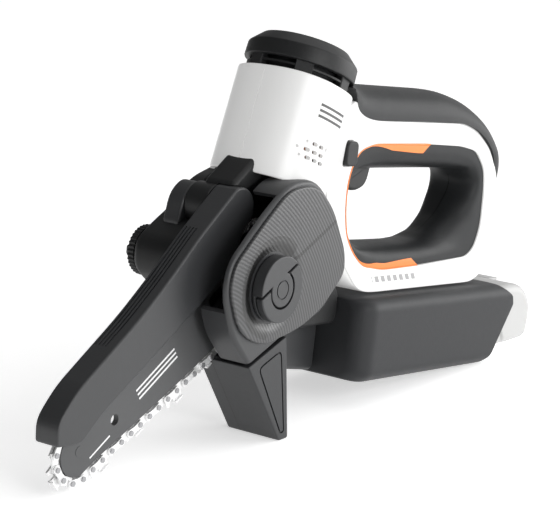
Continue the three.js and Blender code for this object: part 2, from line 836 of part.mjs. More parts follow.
// ---- chip chute ----
const chuteTopFront = [-13, -44 - gap - 0.4];
const chuteTopRear = [20.6, -28 - gap - 0.8];
const pitch = Math.atan2(housingBottom - footZ, housingRear - footX);
const footBottom = (x) => footZ - (footX - x) * Math.tan(pitch);
const chuteOuter = outline([chuteTopFront, chuteTopRear, [footX, footBottom(footX)], [24, footBottom(24)]]);
const chuteInner = outline([
  [-8, -30],
  [17.4, -22],
  [30.4, -96],
  [26.4, -96],
  [24.8, -89],
  [-9.6, -43.4],
]);
add(
  "chip_chute",
  prism(chuteOuter, coverFace, 0.7)
    .subtract(prism(chuteInner, coverFace + 2.4, 0.7 - 2.4))
    .subtract(prism(loopOutline(gap + chainHeight + cutterHeight + 1.4), barPlaneY - 4.6, barPlaneY + 4.6)),
  DARK,
);

// ---- battery housing, pack and what feeds the motor ----
const housingShape = outline([
  [neckEnd + gap, -16, 3],
  [104, housingTop, 5],
  [262, housingTop, 4],
  [277, -17, 4],
  [279, -26, 4],
  [housingRear, housingBottom],
  [neckEnd + gap, housingBottom, 9],
]);
const pocketTop = -15.4;
const pocketFloor = -55;
const boardX = 118;
const housingBody = prism(housingShape, -housingHalf, housingHalf, 3)
  .subtract(box(150, 400, -packHalf - runGap, packHalf + runGap, pocketFloor, pocketTop))
  .subtract(box(101, 146.6, -30, 30, -52, -20))
  .subtract(box(90, 104, -20, 20, -46, -30))
  .subtract(box(140, 152, -20, 20, -46, -26));
add("battery_housing_left", housingBody.intersect(leftSide), DARK);
add("battery_housing_right", housingBody.intersect(rightSide), DARK);
const packShape = outline([
  [packFront, pocketTop - runGap],
  [261, pocketTop - runGap],
  [281, -15.9],
  [286, -12.6, 3],
  [301, -15, 6],
  [packRear, -27, 8],
  [packRear - 2, -52, 6],
  [260, pocketFloor + runGap],
  [packFront, pocketFloor + runGap],
]);
const pack = prism(packShape, -packHalf, packHalf, 1.5)
  .subtract(box(packFront - 1, packFront + 9, -17, 17, -44, -28))
  .subtract(box(296.5, 320, -9, 9, -26.4, -5));
add("battery_pack", pack, PALE);
add("battery_button", box(297, 308, -8.6, 8.6, -23.6, -14.6), ORANGE);
const terminals = box(140.4, 151.6, -15, 15, -42, -30)
  .add(box(151, 163, -12, -10, -40, -32))
  .add(box(151, 163, 10, 12, -40, -32));
add("terminal_block", terminals, STEEL);
add("controller_board", box(boardX - 12, boardX + 12, -24, 24, -44, -41.6), BOARD);
const leadPath = new THREE.CatmullRomCurve3([
  new THREE.Vector3(104.5, 0, -38),
  new THREE.Vector3(92, 0, -38),
  new THREE.Vector3(76, 0, -38),
  new THREE.Vector3(64, 0, -36),
]);
add("motor_lead", solid(new THREE.ExtrudeGeometry(wire(2), { steps: 10, extrudePath: leadPath })), ORANGE);

// ---- the whole tool, standing on its chute foot and the housing's rear edge ----
tool.rotation.y = pitch;
tool.updateMatrixWorld(true);
const bounds = new THREE.Box3().setFromObject(tool, true);
const centre = bounds.getCenter(new THREE.Vector3());
tool.position.set(-centre.x, -centre.y, -bounds.min.z);
const root = new THREE.Group();
root.add(tool);
export default root;
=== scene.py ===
"""The looks of a compact cordless pruning chainsaw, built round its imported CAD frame.

Shapes are worked out in the tool's own axes in millimetres: x to the battery, y to the tool's right, z up,
from the knob's axis in the seam plane. The last step of every piece turns them into the row frame in metres.
"""

import json
import math

import bmesh
import bpy
import mathutils
import numpy as np
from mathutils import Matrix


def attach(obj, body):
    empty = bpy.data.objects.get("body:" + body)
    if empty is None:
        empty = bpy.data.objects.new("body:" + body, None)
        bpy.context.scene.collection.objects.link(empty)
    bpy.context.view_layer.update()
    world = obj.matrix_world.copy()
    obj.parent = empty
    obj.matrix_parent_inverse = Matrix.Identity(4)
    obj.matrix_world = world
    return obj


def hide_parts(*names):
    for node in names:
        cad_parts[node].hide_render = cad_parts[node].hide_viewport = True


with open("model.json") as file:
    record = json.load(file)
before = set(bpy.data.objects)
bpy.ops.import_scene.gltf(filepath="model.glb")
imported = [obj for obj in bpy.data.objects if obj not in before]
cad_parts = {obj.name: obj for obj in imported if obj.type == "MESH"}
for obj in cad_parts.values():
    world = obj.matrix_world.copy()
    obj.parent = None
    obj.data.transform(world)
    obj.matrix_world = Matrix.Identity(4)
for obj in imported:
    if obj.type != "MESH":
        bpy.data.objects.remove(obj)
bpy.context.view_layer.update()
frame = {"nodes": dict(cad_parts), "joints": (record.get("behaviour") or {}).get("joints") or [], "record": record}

JOINTS = {j["name"]: j for j in frame["joints"]}
REAR = np.array(JOINTS["battery_slide"]["axis"])
SIDE = np.array([0.0, 1.0, 0.0])
UP = np.array([-REAR[2], 0.0, REAR[0]])
ZERO = np.array(JOINTS["knob_turn"]["pos_m"])

BAR_TILT = math.radians(35.5)
ALONG = np.array([-math.cos(BAR_TILT), -math.sin(BAR_TILT)])
ABOVE = np.array([-math.sin(BAR_TILT), math.cos(BAR_TILT)])
LEAN = math.radians(16.5)
MOTOR_UP = np.array([math.sin(LEAN), 0.0, math.cos(LEAN)])
MOTOR_REAR = np.array([math.cos(LEAN), 0.0, -math.sin(LEAN)])
SPROCKET_AT = -30.0
SPROCKET = SPROCKET_AT * ALONG
MOTOR_FOOT = np.array([SPROCKET[0], 0.0, SPROCKET[1]])
HINGE = np.array([-9.0, 41.0])
LOBE_RADIUS = 12.5
BAR_Y = -8.0
BAR_HALF = 1.7
NOSE_AT = 148
NOSE_RADIUS = 13
CHAIN_PITCH = 8.255
BARREL_RADIUS = 33.0
BARREL_X = 24.4
BARREL_Z = 17.4
SIDE_HALF = 20.5
LINING_HALF = 19.4
LINING_POWER = 0.6
KNOB_RADIUS = 19
KNOB_FACE = -44


# ---------------------------------------------------------------- materials


class Value:
    """A node's output, so that a pattern reads as sums and products of values."""

    def __init__(self, tree, socket):
        self.tree = tree
        self.socket = socket

    def node(self, kind, settings, inputs, output=0):
        """One node of any type, with its settings made first and then its sockets filled."""
        made = self.tree.nodes.new(kind)
        for name, value in settings.items():
            setattr(made, name, value)
        for name, value in inputs.items():
            if isinstance(value, Value):
                self.tree.links.new(value.socket, made.inputs[name])
            else:
                made.inputs[name].default_value = value
        return Value(self.tree, made.outputs[output])

    def math(self, operation, *others):
        """One sum, product or other operation of a maths node."""
        return self.node("ShaderNodeMath", {"operation": operation}, dict(enumerate((self, *others))))

    def __add__(self, other):
        return self.math("ADD", other)

    __radd__ = __add__

    def __mul__(self, other):
        return self.math("MULTIPLY", other)

    __rmul__ = __mul__

    def __sub__(self, other):
        return self.math("SUBTRACT", other)

    def __rsub__(self, other):
        return self.math("MULTIPLY", -1.0).math("ADD", other)

    def below(self, edge):
        """1 where this value is under the edge, else 0."""
        return self.math("LESS_THAN", edge)

    def above(self, edge):
        """1 where this value is over the edge, else 0."""
        return self.math("GREATER_THAN", edge)

    def both(self, other):
        """1 where both values are 1."""
        return self.math("MINIMUM", other)

    def wave(self):
        """The sine of this value."""
        return self.math("SINE")

    def dot(self, direction):
        """How far a place lies along a direction."""
        return self.node(
            "ShaderNodeVectorMath",
            {"operation": "DOT_PRODUCT"},
            {0: self, 1: tuple(direction)},
            output="Value",
        )

    def noise(self, size, detail=2.0):
        """Soft spots about size metres across, from 0 to 1."""
        return self.node(
            "ShaderNodeTexNoise", {}, {"Vector": self, "Scale": 1.0 / size, "Detail": detail}, output=0
        )

    def blend(self, first, second):
        """first where this value is 0, second where it is 1."""
        made = self.tree.nodes.new("ShaderNodeMix")
        made.data_type = "RGBA"
        self.tree.links.new(self.socket, made.inputs[0])
        for at, colour in ((6, first), (7, second)):
            if isinstance(colour, Value):
                self.tree.links.new(colour.socket, made.inputs[at])
            else:
                made.inputs[at].default_value = (*colour, 1)
        return Value(self.tree, made.outputs[2])


def tool_axes(place):
    """The tool's own x, y and z in millimetres at a place in the row frame."""
    return [
        (place.dot(direction) - float(ZERO @ direction)) * 1000.0 for direction in (REAR, SIDE, UP)
    ]


def finish(
    name, colour, rough, metal=0.0, coat=0.0, mottle=0.06, grain=0.0, grain_size=0.0007, sheen=0.5, painted_glow=0.0,
    marks=None
):
    """A surface with slow mottling of colour and gloss, a fine moulded grain, and any marks on it; with
    painted_glow set, its own colour also glows as painted light.
    """
    material = bpy.data.materials.new(name)
    material.use_nodes = True
    tree = material.node_tree
    shader = tree.nodes["Principled BSDF"]
    place = Value(tree, tree.nodes.new("ShaderNodeTexCoord").outputs["Object"])
    slow = place.noise(0.03)
    dark = tuple(c * (1 - mottle) for c in colour)
    light = tuple(min(1.0, c * (1 + mottle)) for c in colour)
    shade = slow.blend(dark, light)
    gloss = place.noise(0.004) * 0.08 + (rough - 0.04)
    height = place.noise(grain_size, 1.0) * grain
    if marks is not None:
        shade, gloss, height = marks(place, shade, gloss, height)
    tree.links.new(shade.socket, shader.inputs["Base Color"])
    tree.links.new(gloss.socket, shader.inputs["Roughness"])
    shader.inputs["Metallic"].default_value = metal
    shader.inputs["Coat Weight"].default_value = coat
    shader.inputs["Coat Roughness"].default_value = 0.2
    shader.inputs["Specular IOR Level"].default_value = sheen
    # Painted light: the surface's own colour is sent out as emission, by painted_glow, so it glows as if lit.
    tree.links.new(shade.socket, shader.inputs["Emission Color"])
    shader.inputs["Emission Strength"].default_value = painted_glow
    if grain > 0 or marks is not None:
        bump = height.node(
            "ShaderNodeBump", {}, {"Height": height, "Strength": 0.6, "Distance": 0.0004}, output=0
        )
        tree.links.new(bump.socket, shader.inputs["Normal"])
    return material


def fine_ribs(place, shade, gloss, height):
    """Curved ribs 2 mm apart across the cover's plate, as circles about a point ahead of it, each painted
    darker and lighter along its wave as painted light and shade; painted shade in the dish behind the knob;
    and one straight groove, painted near-black as painted shade."""
    x, y, z = tool_axes(place)
    reach = ((x + 58.0) * (x + 58.0) + (z + 62.0) * (z + 62.0)).math("SQRT")
    rib = (reach * (2 * math.pi / 2.15)).wave() * 0.5 + 0.5
    across = (x - 19.0) * (-0.5) + (z - 16.0) * 0.866
    groove = across.math("ABSOLUTE").below(1.1).both(x.above(15.0))
    # Painted light and shade: each rib's colour runs from darker to lighter along its wave.
    shade = (rib * 0.9).blend((0.016, 0.016, 0.017), (0.05, 0.051, 0.053))
    # Painted shade: the dish behind the knob is darkened.
    dish_shade = (x * x + z * z).math("SQRT").below(29.5).both((x - z * 0.4).below(9.0))
    shade = dish_shade.blend(shade, (0.006, 0.006, 0.006))
    # Painted shade: the groove is painted near-black.
    shade = groove.blend(shade, (0.004, 0.004, 0.004))
    return shade, gloss, height + rib * 0.28 - groove * 2.0


def bar_print(place, shade, gloss, height):
    """Plain pale stripes printed along the bar in place of lettering."""
    x, y, z = tool_axes(place)
    s = x * float(ALONG[0]) + z * float(ALONG[1])
    t = x * float(ABOVE[0]) + z * float(ABOVE[1])
    block = s.above(60.0).both(s.below(96.0)).both((t + 5.0).math("ABSOLUTE").below(4.2))
    bars = ((t + 5.0) * (math.pi / 1.4)).wave().above(0.25)
    small = s.above(124.0).both(s.below(142.0)).both((t + 9.0).math("ABSOLUTE").below(0.5))
    ink = block.both(bars).math("MAXIMUM", small)
    scratch = place.noise(0.0009, 3.0)
    return ink.blend(shade, (0.75, 0.75, 0.75)), gloss + scratch * 0.1, height + scratch * 0.2


def rim_print(place, shade, gloss, height):
    """Short grey dashes on the lower rim and three strokes on the barrel in place of lettering, and painted
    shade darkening the white where it lies within the barrel's wall."""
    x, y, z = tool_axes(place)
    line = x.above(122.0).both(x.below(172.0)).both((z + 4.0).math("ABSOLUTE").below(1.7))
    line = line.both(y.below(-15.0))
    dashes = (x * (2 * math.pi / 7.0)).wave().above(-0.35)
    s = (x - BARREL_X) * math.sin(LEAN) + (z - BARREL_Z) * math.cos(LEAN)
    q = (x - BARREL_X) * math.cos(LEAN) - (z - BARREL_Z) * math.sin(LEAN)
    badge = q.above(-13.0).both(q.below(11.0)).both((s - 82.0).math("ABSOLUTE").below(4.9))
    badge = badge.both(y.below(-10.0))
    strokes = ((s - 81.2) * (2 * math.pi / 3.3)).wave().above(0.1)
    # Painted shade: the white within the barrel's wall is darkened.
    barrel_shade = (q * q + y * y).math("SQRT").below(30.4).both(s.above(30.0))
    shade = barrel_shade.blend(shade, (0.02, 0.02, 0.02))
    shade = line.both(dashes).blend(shade, (0.16, 0.16, 0.16))
    return badge.both(strokes).blend(shade, (0.03, 0.03, 0.03)), gloss, height


def lining_lines(place, shade, gloss, height):
    """The moulding line down the loop's rear column, and two narrow slots in its floor, painted near-black as
    painted shade.
    """
    x, y, z = tool_axes(place)
    seam = y.math("ABSOLUTE").below(0.3).both(x.above(206.0)).both(z.below(58.0))
    seam = seam.both(x.below(262.0)).both(z.above(12.0))
    slots = (y.math("ABSOLUTE") - 2.6).math("ABSOLUTE").below(0.75).both(z.below(20.0)).both(z.above(8.0))
    # The seam is a dark joint; the slots' near-black is painted shade inside them.
    dark = seam.math("MAXIMUM", slots.both(x.above(132.0)).both(x.below(178.0)))
    return dark.blend(shade, (0.001, 0.001, 0.001)), gloss, height - dark


def seam_line(at_y, until_x):
    """A thin moulding line across the front of the battery housing."""

    def marks(place, shade, gloss, height):
        """The line itself, dark and cut in."""
        x, y, z = tool_axes(place)
        line = (y - at_y).math("ABSOLUTE").below(0.3).both(x.below(until_x))
        return line.blend(shade, (0.01, 0.01, 0.01)), gloss, height - line

    return marks


# The white moulding glows with painted light: emission of its own colour brightens it.
WHITE = finish("white_moulding", (0.58, 0.58, 0.575), 0.3, coat=0.1, painted_glow=0.42, mottle=0.01, marks=rim_print)
DARK = finish("dark_moulding", (0.03, 0.031, 0.033), 0.44, mottle=0.05, grain=0.2, sheen=0.6)
# Painted shade: a darker copy of the dark moulding, for parts that lie in shadow, such as the motor cap, oil tank,
# bracket, lock and trigger.
SHADED_DARK = finish("shaded_moulding", (0.014, 0.0145, 0.015), 0.45, mottle=0.05, grain=0.2, sheen=0.32)
HOUSING = finish(
    "battery_moulding", (0.024, 0.025, 0.027), 0.5, mottle=0.05, grain=0.25, sheen=0.28,
    marks=seam_line(10.5, 104.0)
)
CHUTE = finish(
    "chute_moulding", (0.024, 0.025, 0.027), 0.46, mottle=0.05, grain=0.2, sheen=0.5,
    marks=seam_line(-9.0, 60.0)
)
SOFT = finish(
    "soft_overmould", (0.016, 0.017, 0.018), 0.46, mottle=0.08, grain=0.25, sheen=0.22, marks=lining_lines
)
LENS = finish("ribbed_lens", (0.04, 0.04, 0.04), 0.36, sheen=0.8, marks=fine_ribs)
ORANGE = finish("orange_inlay", (0.86, 0.22, 0.03), 0.4, mottle=0.03)
PALE = finish("pale_battery", (0.5, 0.5, 0.495), 0.45, mottle=0.02, grain=0.1)
BAR = finish("coated_bar", (0.07, 0.071, 0.073), 0.45, metal=0.1, mottle=0.06, marks=bar_print)
STEEL = finish("bright_steel", (0.86, 0.86, 0.86), 0.3, metal=0.55, mottle=0.03)
IRON = finish("plain_steel", (0.4, 0.4, 0.41), 0.4, metal=0.9, mottle=0.1, grain=0.15)
COPPER = finish("windings", (0.45, 0.2, 0.09), 0.45, metal=0.6, mottle=0.2, grain=0.4)
BOARD = finish("circuit_board", (0.03, 0.16, 0.07), 0.35, mottle=0.2)
SEAL = finish("seal_rubber", (0.6, 0.16, 0.03), 0.6, mottle=0.05)

SLOT_FINISH = {
    "white_shell": WHITE,
    "dark_plastic": DARK,
    "soft_black": SOFT,
    "orange_inlay": ORANGE,
    "seal_rubber": SEAL,
    "lead_rubber": SEAL,
    "pale_plastic": PALE,
    "grey_bar": BAR,
    "chain_steel": STEEL,
    "copper_and_iron": COPPER,
    "board_green": BOARD,
    "black_plastic": SOFT,
    "bright_steel": IRON,
}


# ---------------------------------------------------------------- shapes


def in_row(points):
    """Tool millimetres to row metres: the knob's place plus each coordinate along its own axis."""
    points = np.asarray(points, float)
    return ZERO + (points[..., :1] * REAR + points[..., 1:2] * SIDE + points[..., 2:] * UP) / 1000.0


def build(name, points, faces, material, crease=35.0):
    """A closed mesh from points and faces, facing outwards, shaded smooth except across sharp creases."""
    mesh = bpy.data.meshes.new(name)
    mesh.from_pydata(in_row(points).reshape(-1, 3).tolist(), [], faces)
    shell = bmesh.new()
    shell.from_mesh(mesh)
    bmesh.ops.remove_doubles(shell, verts=shell.verts, dist=2e-6)
    bmesh.ops.dissolve_degenerate(shell, edges=shell.edges, dist=1e-6)
    bmesh.ops.recalc_face_normals(shell, faces=shell.faces)
    shell.to_mesh(mesh)
    shell.free()
    mesh.shade_smooth()
    mesh.set_sharp_from_angle(angle=math.radians(crease))
    mesh.materials.append(material)
    made = bpy.data.objects.new(name, mesh)
    bpy.context.scene.collection.objects.link(made)
    return made


def grid_faces(rows, columns, wrap_rows=False):
    """Four-sided faces between neighbouring rows of closed rings."""
    i = np.arange(rows if wrap_rows else rows - 1)[:, None]
    j = np.arange(columns)[None, :]
    after = (j + 1) % columns
    below = (i + 1) % rows
    corners = [i * columns + j, i * columns + after, below * columns + after, below * columns + j]
    return np.stack(np.broadcast_arrays(*corners), -1).reshape(-1, 4).tolist()


def loft(name, rings, material, crease=35.0, wrap=False):
    """Closed rings joined in order; the first and last are filled unless the rings wrap round."""
    rings = np.asarray(rings, float)
    rows, columns = rings.shape[:2]
    faces = grid_faces(rows, columns, wrap)
    if not wrap:
        faces.append(list(range(columns)))
        faces.append(list(range((rows - 1) * columns, rows * columns)))
    return build(name, rings, faces, material, crease)


def rounded(corners, steps=5):
    """A closed outline: each corner with a reach is a quadratic curve from that far before it to that far
    after it."""
    pieces = []
    count = len(corners)
    for i, corner in enumerate(corners):
        here = np.array(corner[:2], float)
        reach = corner[2] if len(corner) > 2 else 0.0
        back = np.array(corners[i - 1][:2], float) - here
        ahead = np.array(corners[(i + 1) % count][:2], float) - here
        if reach <= 0:
            pieces.append(here[None])
            continue
        cut = min(reach, 0.48 * np.linalg.norm(back), 0.48 * np.linalg.norm(ahead))
        start = here + back / np.linalg.norm(back) * cut
        end = here + ahead / np.linalg.norm(ahead) * cut
        t = np.linspace(0, 1, steps + 1)[:, None]
        pieces.append((1 - t) ** 2 * start + 2 * t * (1 - t) * here + t**2 * end)
    return np.vstack(pieces)


def even(outline, count, closed=True):
    """The same line with count points spaced evenly along it."""
    line = np.vstack([outline, outline[:1]]) if closed else np.asarray(outline, float)
    run = np.concatenate([[0], np.cumsum(np.linalg.norm(np.diff(line, axis=0), axis=1))])
    at = np.linspace(0, run[-1], count, endpoint=not closed)
    return np.stack([np.interp(at, run, line[:, k]) for k in range(line.shape[1])], -1)


def inset(outline, depth):
    """Every point moves inwards along its corner's bisector by depth over the cosine of half the turn. A
    point that lands nearer than depth to some other side is past a crossing, and takes the line between
    its sound neighbours."""
    line = np.array(outline, float)
    if abs(depth) < 1e-6:
        return line
    turn = np.sign(np.sum(line[:, 0] * np.roll(line[:, 1], -1) - np.roll(line[:, 0], -1) * line[:, 1]))
    ahead = np.roll(line, -1, 0) - line
    unit = ahead / np.maximum(np.linalg.norm(ahead, axis=1, keepdims=True), 1e-9)
    normal = np.stack([-unit[:, 1], unit[:, 0]], -1) * turn
    bisector = normal + np.roll(normal, 1, 0)
    bisector /= np.maximum(np.linalg.norm(bisector, axis=1, keepdims=True), 1e-9)
    lean = np.sum(bisector * normal, axis=1, keepdims=True)
    moved = line + bisector / np.clip(lean, 0.55, 1) * depth
    reach = np.maximum(np.sum(ahead**2, 1), 1e-12)
    along = np.clip(np.sum((moved[:, None] - line[None]) * ahead[None], -1) / reach, 0, 1)
    gap = np.linalg.norm(moved[:, None] - line[None] - along[..., None] * ahead[None], axis=-1).min(1)
    sound = gap > abs(depth) * 0.97 - 0.01
    at = np.arange(len(line))
    for axis in (0, 1):
        moved[:, axis] = np.interp(at, at[sound], moved[sound, axis], period=len(line))
    return moved


def slab_rings(outline, y0, y1, round0=1.0, round1=1.0, steps=4):
    """An outline carried across the tool from y0 to y1, shrinking along a quarter circle near each face."""
    first = np.linspace(0, math.pi / 2, steps + 1) if round0 > 0 else [math.pi / 2]
    last = np.linspace(math.pi / 2, 0, steps + 1) if round1 > 0 else [math.pi / 2]
    levels = [(round0 * (1 - math.sin(a)), y0 + round0 * (1 - math.cos(a))) for a in first]
    levels += [(round1 * (1 - math.sin(a)), y1 - round1 * (1 - math.cos(a))) for a in last]
    rings = []
    for depth, y in levels:
        ring = inset(outline, depth)
        rings.append(np.stack([ring[:, 0], np.full(len(ring), y), ring[:, 1]], -1))
    return rings


def slab(name, outline, y0, y1, material, round0=1.0, round1=1.0, crease=35.0):
    """A solid of an outline between y0 and y1, with its two edges rounded."""
    return loft(name, slab_rings(outline, y0, y1, round0, round1), material, crease)


def circle(x, z, radius, count=48, start=0.0, end=360.0):
    """Points round a centre, from one angle to another."""
    whole = abs(end - start) >= 360
    a = np.radians(np.linspace(start, end, count, endpoint=not whole))
    return np.stack([x + radius * np.cos(a), z + radius * np.sin(a)], -1)


def disc(name, x, z, radius, y0, y1, material, round0=0.8, round1=0.8, count=64):
    """A slab with a round outline."""
    return slab(name, circle(x, z, radius, count), y0, y1, material, round0, round1)


def head(s, t, reach=0.0):
    """A corner given along the bar and square to it."""
    place = s * ALONG + t * ABOVE
    return [place[0], place[1], reach]


def on_bar(*places):
    """An outline of places given along the bar and square to it."""
    return np.array([head(s, t)[:2] for s, t in places])


def on_motor(radius, height, angle):
    """Points about the motor's axis: angle 0 is towards the tool's rear, 90 degrees its right."""
    radius, height, angle = np.broadcast_arrays(radius, height, angle)
    return (
        MOTOR_FOOT
        + height[..., None] * MOTOR_UP
        + (radius * np.cos(angle))[..., None] * MOTOR_REAR
        + (radius * np.sin(angle))[..., None] * SIDE
    )


def turned_on_motor(name, profile, material, count=96, crease=35.0):
    """A closed profile of [radius, height] corners turned about the motor's axis."""
    profile = np.array(profile, float)
    angle = np.linspace(0, 2 * math.pi, count, endpoint=False)
    rings = on_motor(profile[None, :, 0], profile[None, :, 1], angle[:, None])
    return loft(name, rings, material, crease, wrap=True)


def carve(target, *cutters, join=False):
    """target less the cutters, or joined with them."""
    for cutter in cutters:
        cut = target.modifiers.new("cut", "BOOLEAN")
        cut.operation = "UNION" if join else "DIFFERENCE"
        cut.solver = "EXACT"
        cut.object = cutter
    graph = bpy.context.evaluated_depsgraph_get()
    mesh = bpy.data.meshes.new_from_object(target.evaluated_get(graph))
    target.modifiers.clear()
    target.data = mesh
    mesh.shade_smooth()
    mesh.set_sharp_from_angle(angle=math.radians(35))
    for cutter in cutters:
        bpy.data.objects.remove(cutter)
    return target


def place(made, body, slot, *stands_for):
    """A finished piece: on its body and in place of the CAD nodes that it stands for; the slot argument is not
    used.
    """
    flat = made.modifiers.new("flat_faces", "WEIGHTED_NORMAL")
    flat.keep_sharp = True
    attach(made, body)
    if stands_for:
        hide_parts(*stands_for)
    return made


# ---------------------------------------------------------------- motor barrel, vents and cap


def barrel_radius(angle):
    """Nearly round: a rounded square of power 2.5, so that the flanks are a little flatter than a circle."""
    power = 2.5
    return BARREL_RADIUS / (np.abs(np.cos(angle)) ** power + np.abs(np.sin(angle)) ** power) ** (1 / power)


def barrel(side):
    """Half a tube: a wall's section carried round half a turn about the motor's axis."""
    angle = side * np.linspace(0.006, math.pi - 0.006, 90)
    section = [(-3.0, 37), (-0.6, 37), (0, 38), (0, 98.4), (-0.3, 99.1), (-1.0, 99.4), (-3.0, 99.4)]
    deep = np.array([d for d, _ in section])[None]
    high = np.array([h for _, h in section], float)[None]
    radius = barrel_radius(angle)[:, None] * 0.985 + deep
    return on_motor(radius, high, angle[:, None])


VENT_ROWS = ((-15.5, 6.1, 5, 62.5), (-20.5, 6.2, 6, 57.9), (-18.4, 6.0, 5, 53.6))
vent_slots = [
    (start + k * pitch, height, *((0.8, 0.79) if k in (0, count - 1) else (2.2, 1.2)))
    for start, pitch, count, height in VENT_ROWS
    for k in range(count)
]


def slot_cutter(index, q, a, long, high):
    """A rounded peg through the near wall of the barrel, across the tool."""
    turn = np.linspace(0, 2 * math.pi, 16, endpoint=False)
    along = q + np.sign(np.cos(turn)) * (long - high) + high * np.cos(turn)
    up = a + high * np.sin(turn)
    ring = MOTOR_FOOT + along[:, None] * MOTOR_REAR + up[:, None] * MOTOR_UP
    rings = [ring + [0, -40, 0], ring + [0, -12, 0]]
    return loft(f"vent_cutter_{index}", rings, DARK)


# ---------------------------------------------------------------- D handle

LOOP_CENTRE = np.array([172.0, 40.0])
RIM = [
    (115, 79), (178, 79), (218, 78), (238, 75), (251, 63), (254, 49), (255, 25), (250, 11), (241, 5),
    (179, 2), (137, 1), (116, 4), (103, 13), (94, 24), (90, 39), (89, 54), (92, 66), (99, 75),
]
OUTER = [
    (85, 106), (96, 99), (110, 93.4), (213, 93), (237, 87), (256, 76), (268, 59), (270, 42), (267, 18),
    (264, 3), (256, -6), (240, -11), (118, -11.3), (104, -10), (99, 2), (82, 19), (66, 40), (54, 54),
    (40, 62), (46, 80), (60, 100),
]
OUTER_MID = [
    (85, 106), (96, 101), (110, 101), (213, 101), (243, 91), (266, 76), (280, 60), (283, 42), (283, 14),
    (277, -1), (262, -9), (240, -11), (118, -11.3), (104, -10), (95, -5), (79, 18), (62, 45), (50, 57),
    (40, 64), (46, 80), (60, 100),
]
INNER_MID = [
    (104, 62), (150, 62), (200, 62), (232, 62), (242, 55), (240, 46), (227, 31), (211, 21.5), (196, 16.5),
    (180, 15.5), (140, 16), (116, 16.5), (103, 21), (98, 30), (96, 42), (97, 54),
]


def soften(points, count=720):
    """A closed line through the points, its corners eased by a short running mean."""
    line = even(np.array(points, float), count)
    for _ in range(2):
        line = sum(np.roll(line, k, 0) for k in range(-7, 8)) / 15
    return line


def polar(points, angle):
    """How far the line is from the loop's centre in each direction."""
    line = soften(points) - LOOP_CENTRE
    bearing = np.unwrap(np.arctan2(line[:, 1], line[:, 0]))
    reach = np.linalg.norm(line, axis=1)
    if bearing[-1] < bearing[0]:
        bearing, reach = bearing[::-1], reach[::-1]
    order = np.argsort(np.mod(bearing, 2 * math.pi))
    return np.interp(
        np.mod(angle, 2 * math.pi), np.mod(bearing, 2 * math.pi)[order], reach[order], period=2 * math.pi
    )


def half_width(x, z):
    """How far the handle's side stands from the seam plane, more towards the barrel and the lower rim."""
    q = (x - MOTOR_FOOT[0]) * math.cos(LEAN) - (z - MOTOR_FOOT[2]) * math.sin(LEAN)
    near = np.clip((46.0 - q) / 40.0, 0, 1)
    low = np.clip((4.0 - z) / 16.0, 0, 1) * np.clip((x - 70.0) / 40.0, 0, 1)
    flank = SIDE_HALF + 11.6 * near * near * (3 - 2 * near)
    return np.maximum(flank, SIDE_HALF + 7.0 * low)


def handle_shell(side):
    """The white half loop: at each bearing from the loop's centre, a closed section of rim edge, side and
    outer roll."""
    angle = np.linspace(0, 2 * math.pi, 420, endpoint=False)[:, None]
    rim = polar(RIM, angle)
    outer = polar(OUTER, angle)
    crown = polar(OUTER_MID, angle)
    s = np.linspace(0, 1, 22)[None]
    face = rim + 1.2 + (outer - 1.2 - rim - 1.2) * s
    t = np.linspace(0, math.pi / 2, 12)[None]
    roll = outer + (crown - outer) * np.sin(t)
    radius = np.concatenate(
        [rim + 0 * s[:, :1], rim + 0.35, face, outer - 0.35, roll, crown - 4.0, rim + 3.0], 1
    )
    x = LOOP_CENTRE[0] + radius * np.cos(angle)
    z = LOOP_CENTRE[1] + radius * np.sin(angle)
    width = half_width(x, z)
    y = width.copy()
    y[:, 0] = 17.4
    y[:, 1] = width[:, 1] - 0.35
    last = 2 + s.size
    y[:, last] = width[:, last] - 0.35
    y[:, last + 1 : last + 1 + t.size] = (width[:, last + 1 : last + 1 + t.size] - 1.2) * np.cos(t) + 0.15
    y[:, -2:] = [0.15, 16.6]
    return np.stack([x, side * y, z], -1)


def liner_section(angle, v):
    """The dark lining: from the rim on one side it swells to the middle and back, along a power of a sine."""
    rim = polar(RIM, angle)
    middle = polar(INNER_MID, angle)
    across = -LINING_HALF * np.cos(v)
    lift = np.abs(np.sin(v)) ** LINING_POWER
    return rim + 0.1 + (middle - rim) * lift, across


def handle_liner():
    """The lining's section carried round the loop, closed by two points behind the rim."""
    angle = np.linspace(0, 2 * math.pi, 360, endpoint=False)[:, None]
    v = np.linspace(0, math.pi, 40)[None]
    radius, y = liner_section(angle, v)
    y = np.broadcast_to(y, radius.shape)
    back = polar(RIM, angle) + 2.6
    radius = np.concatenate([radius, back, back], 1)
    y = np.concatenate([y, np.full_like(back, 16.0), np.full_like(back, -16.0)], 1)
    x = LOOP_CENTRE[0] + radius * np.cos(angle)
    z = LOOP_CENTRE[1] + radius * np.sin(angle)
    return np.stack([x, y, z], -1)


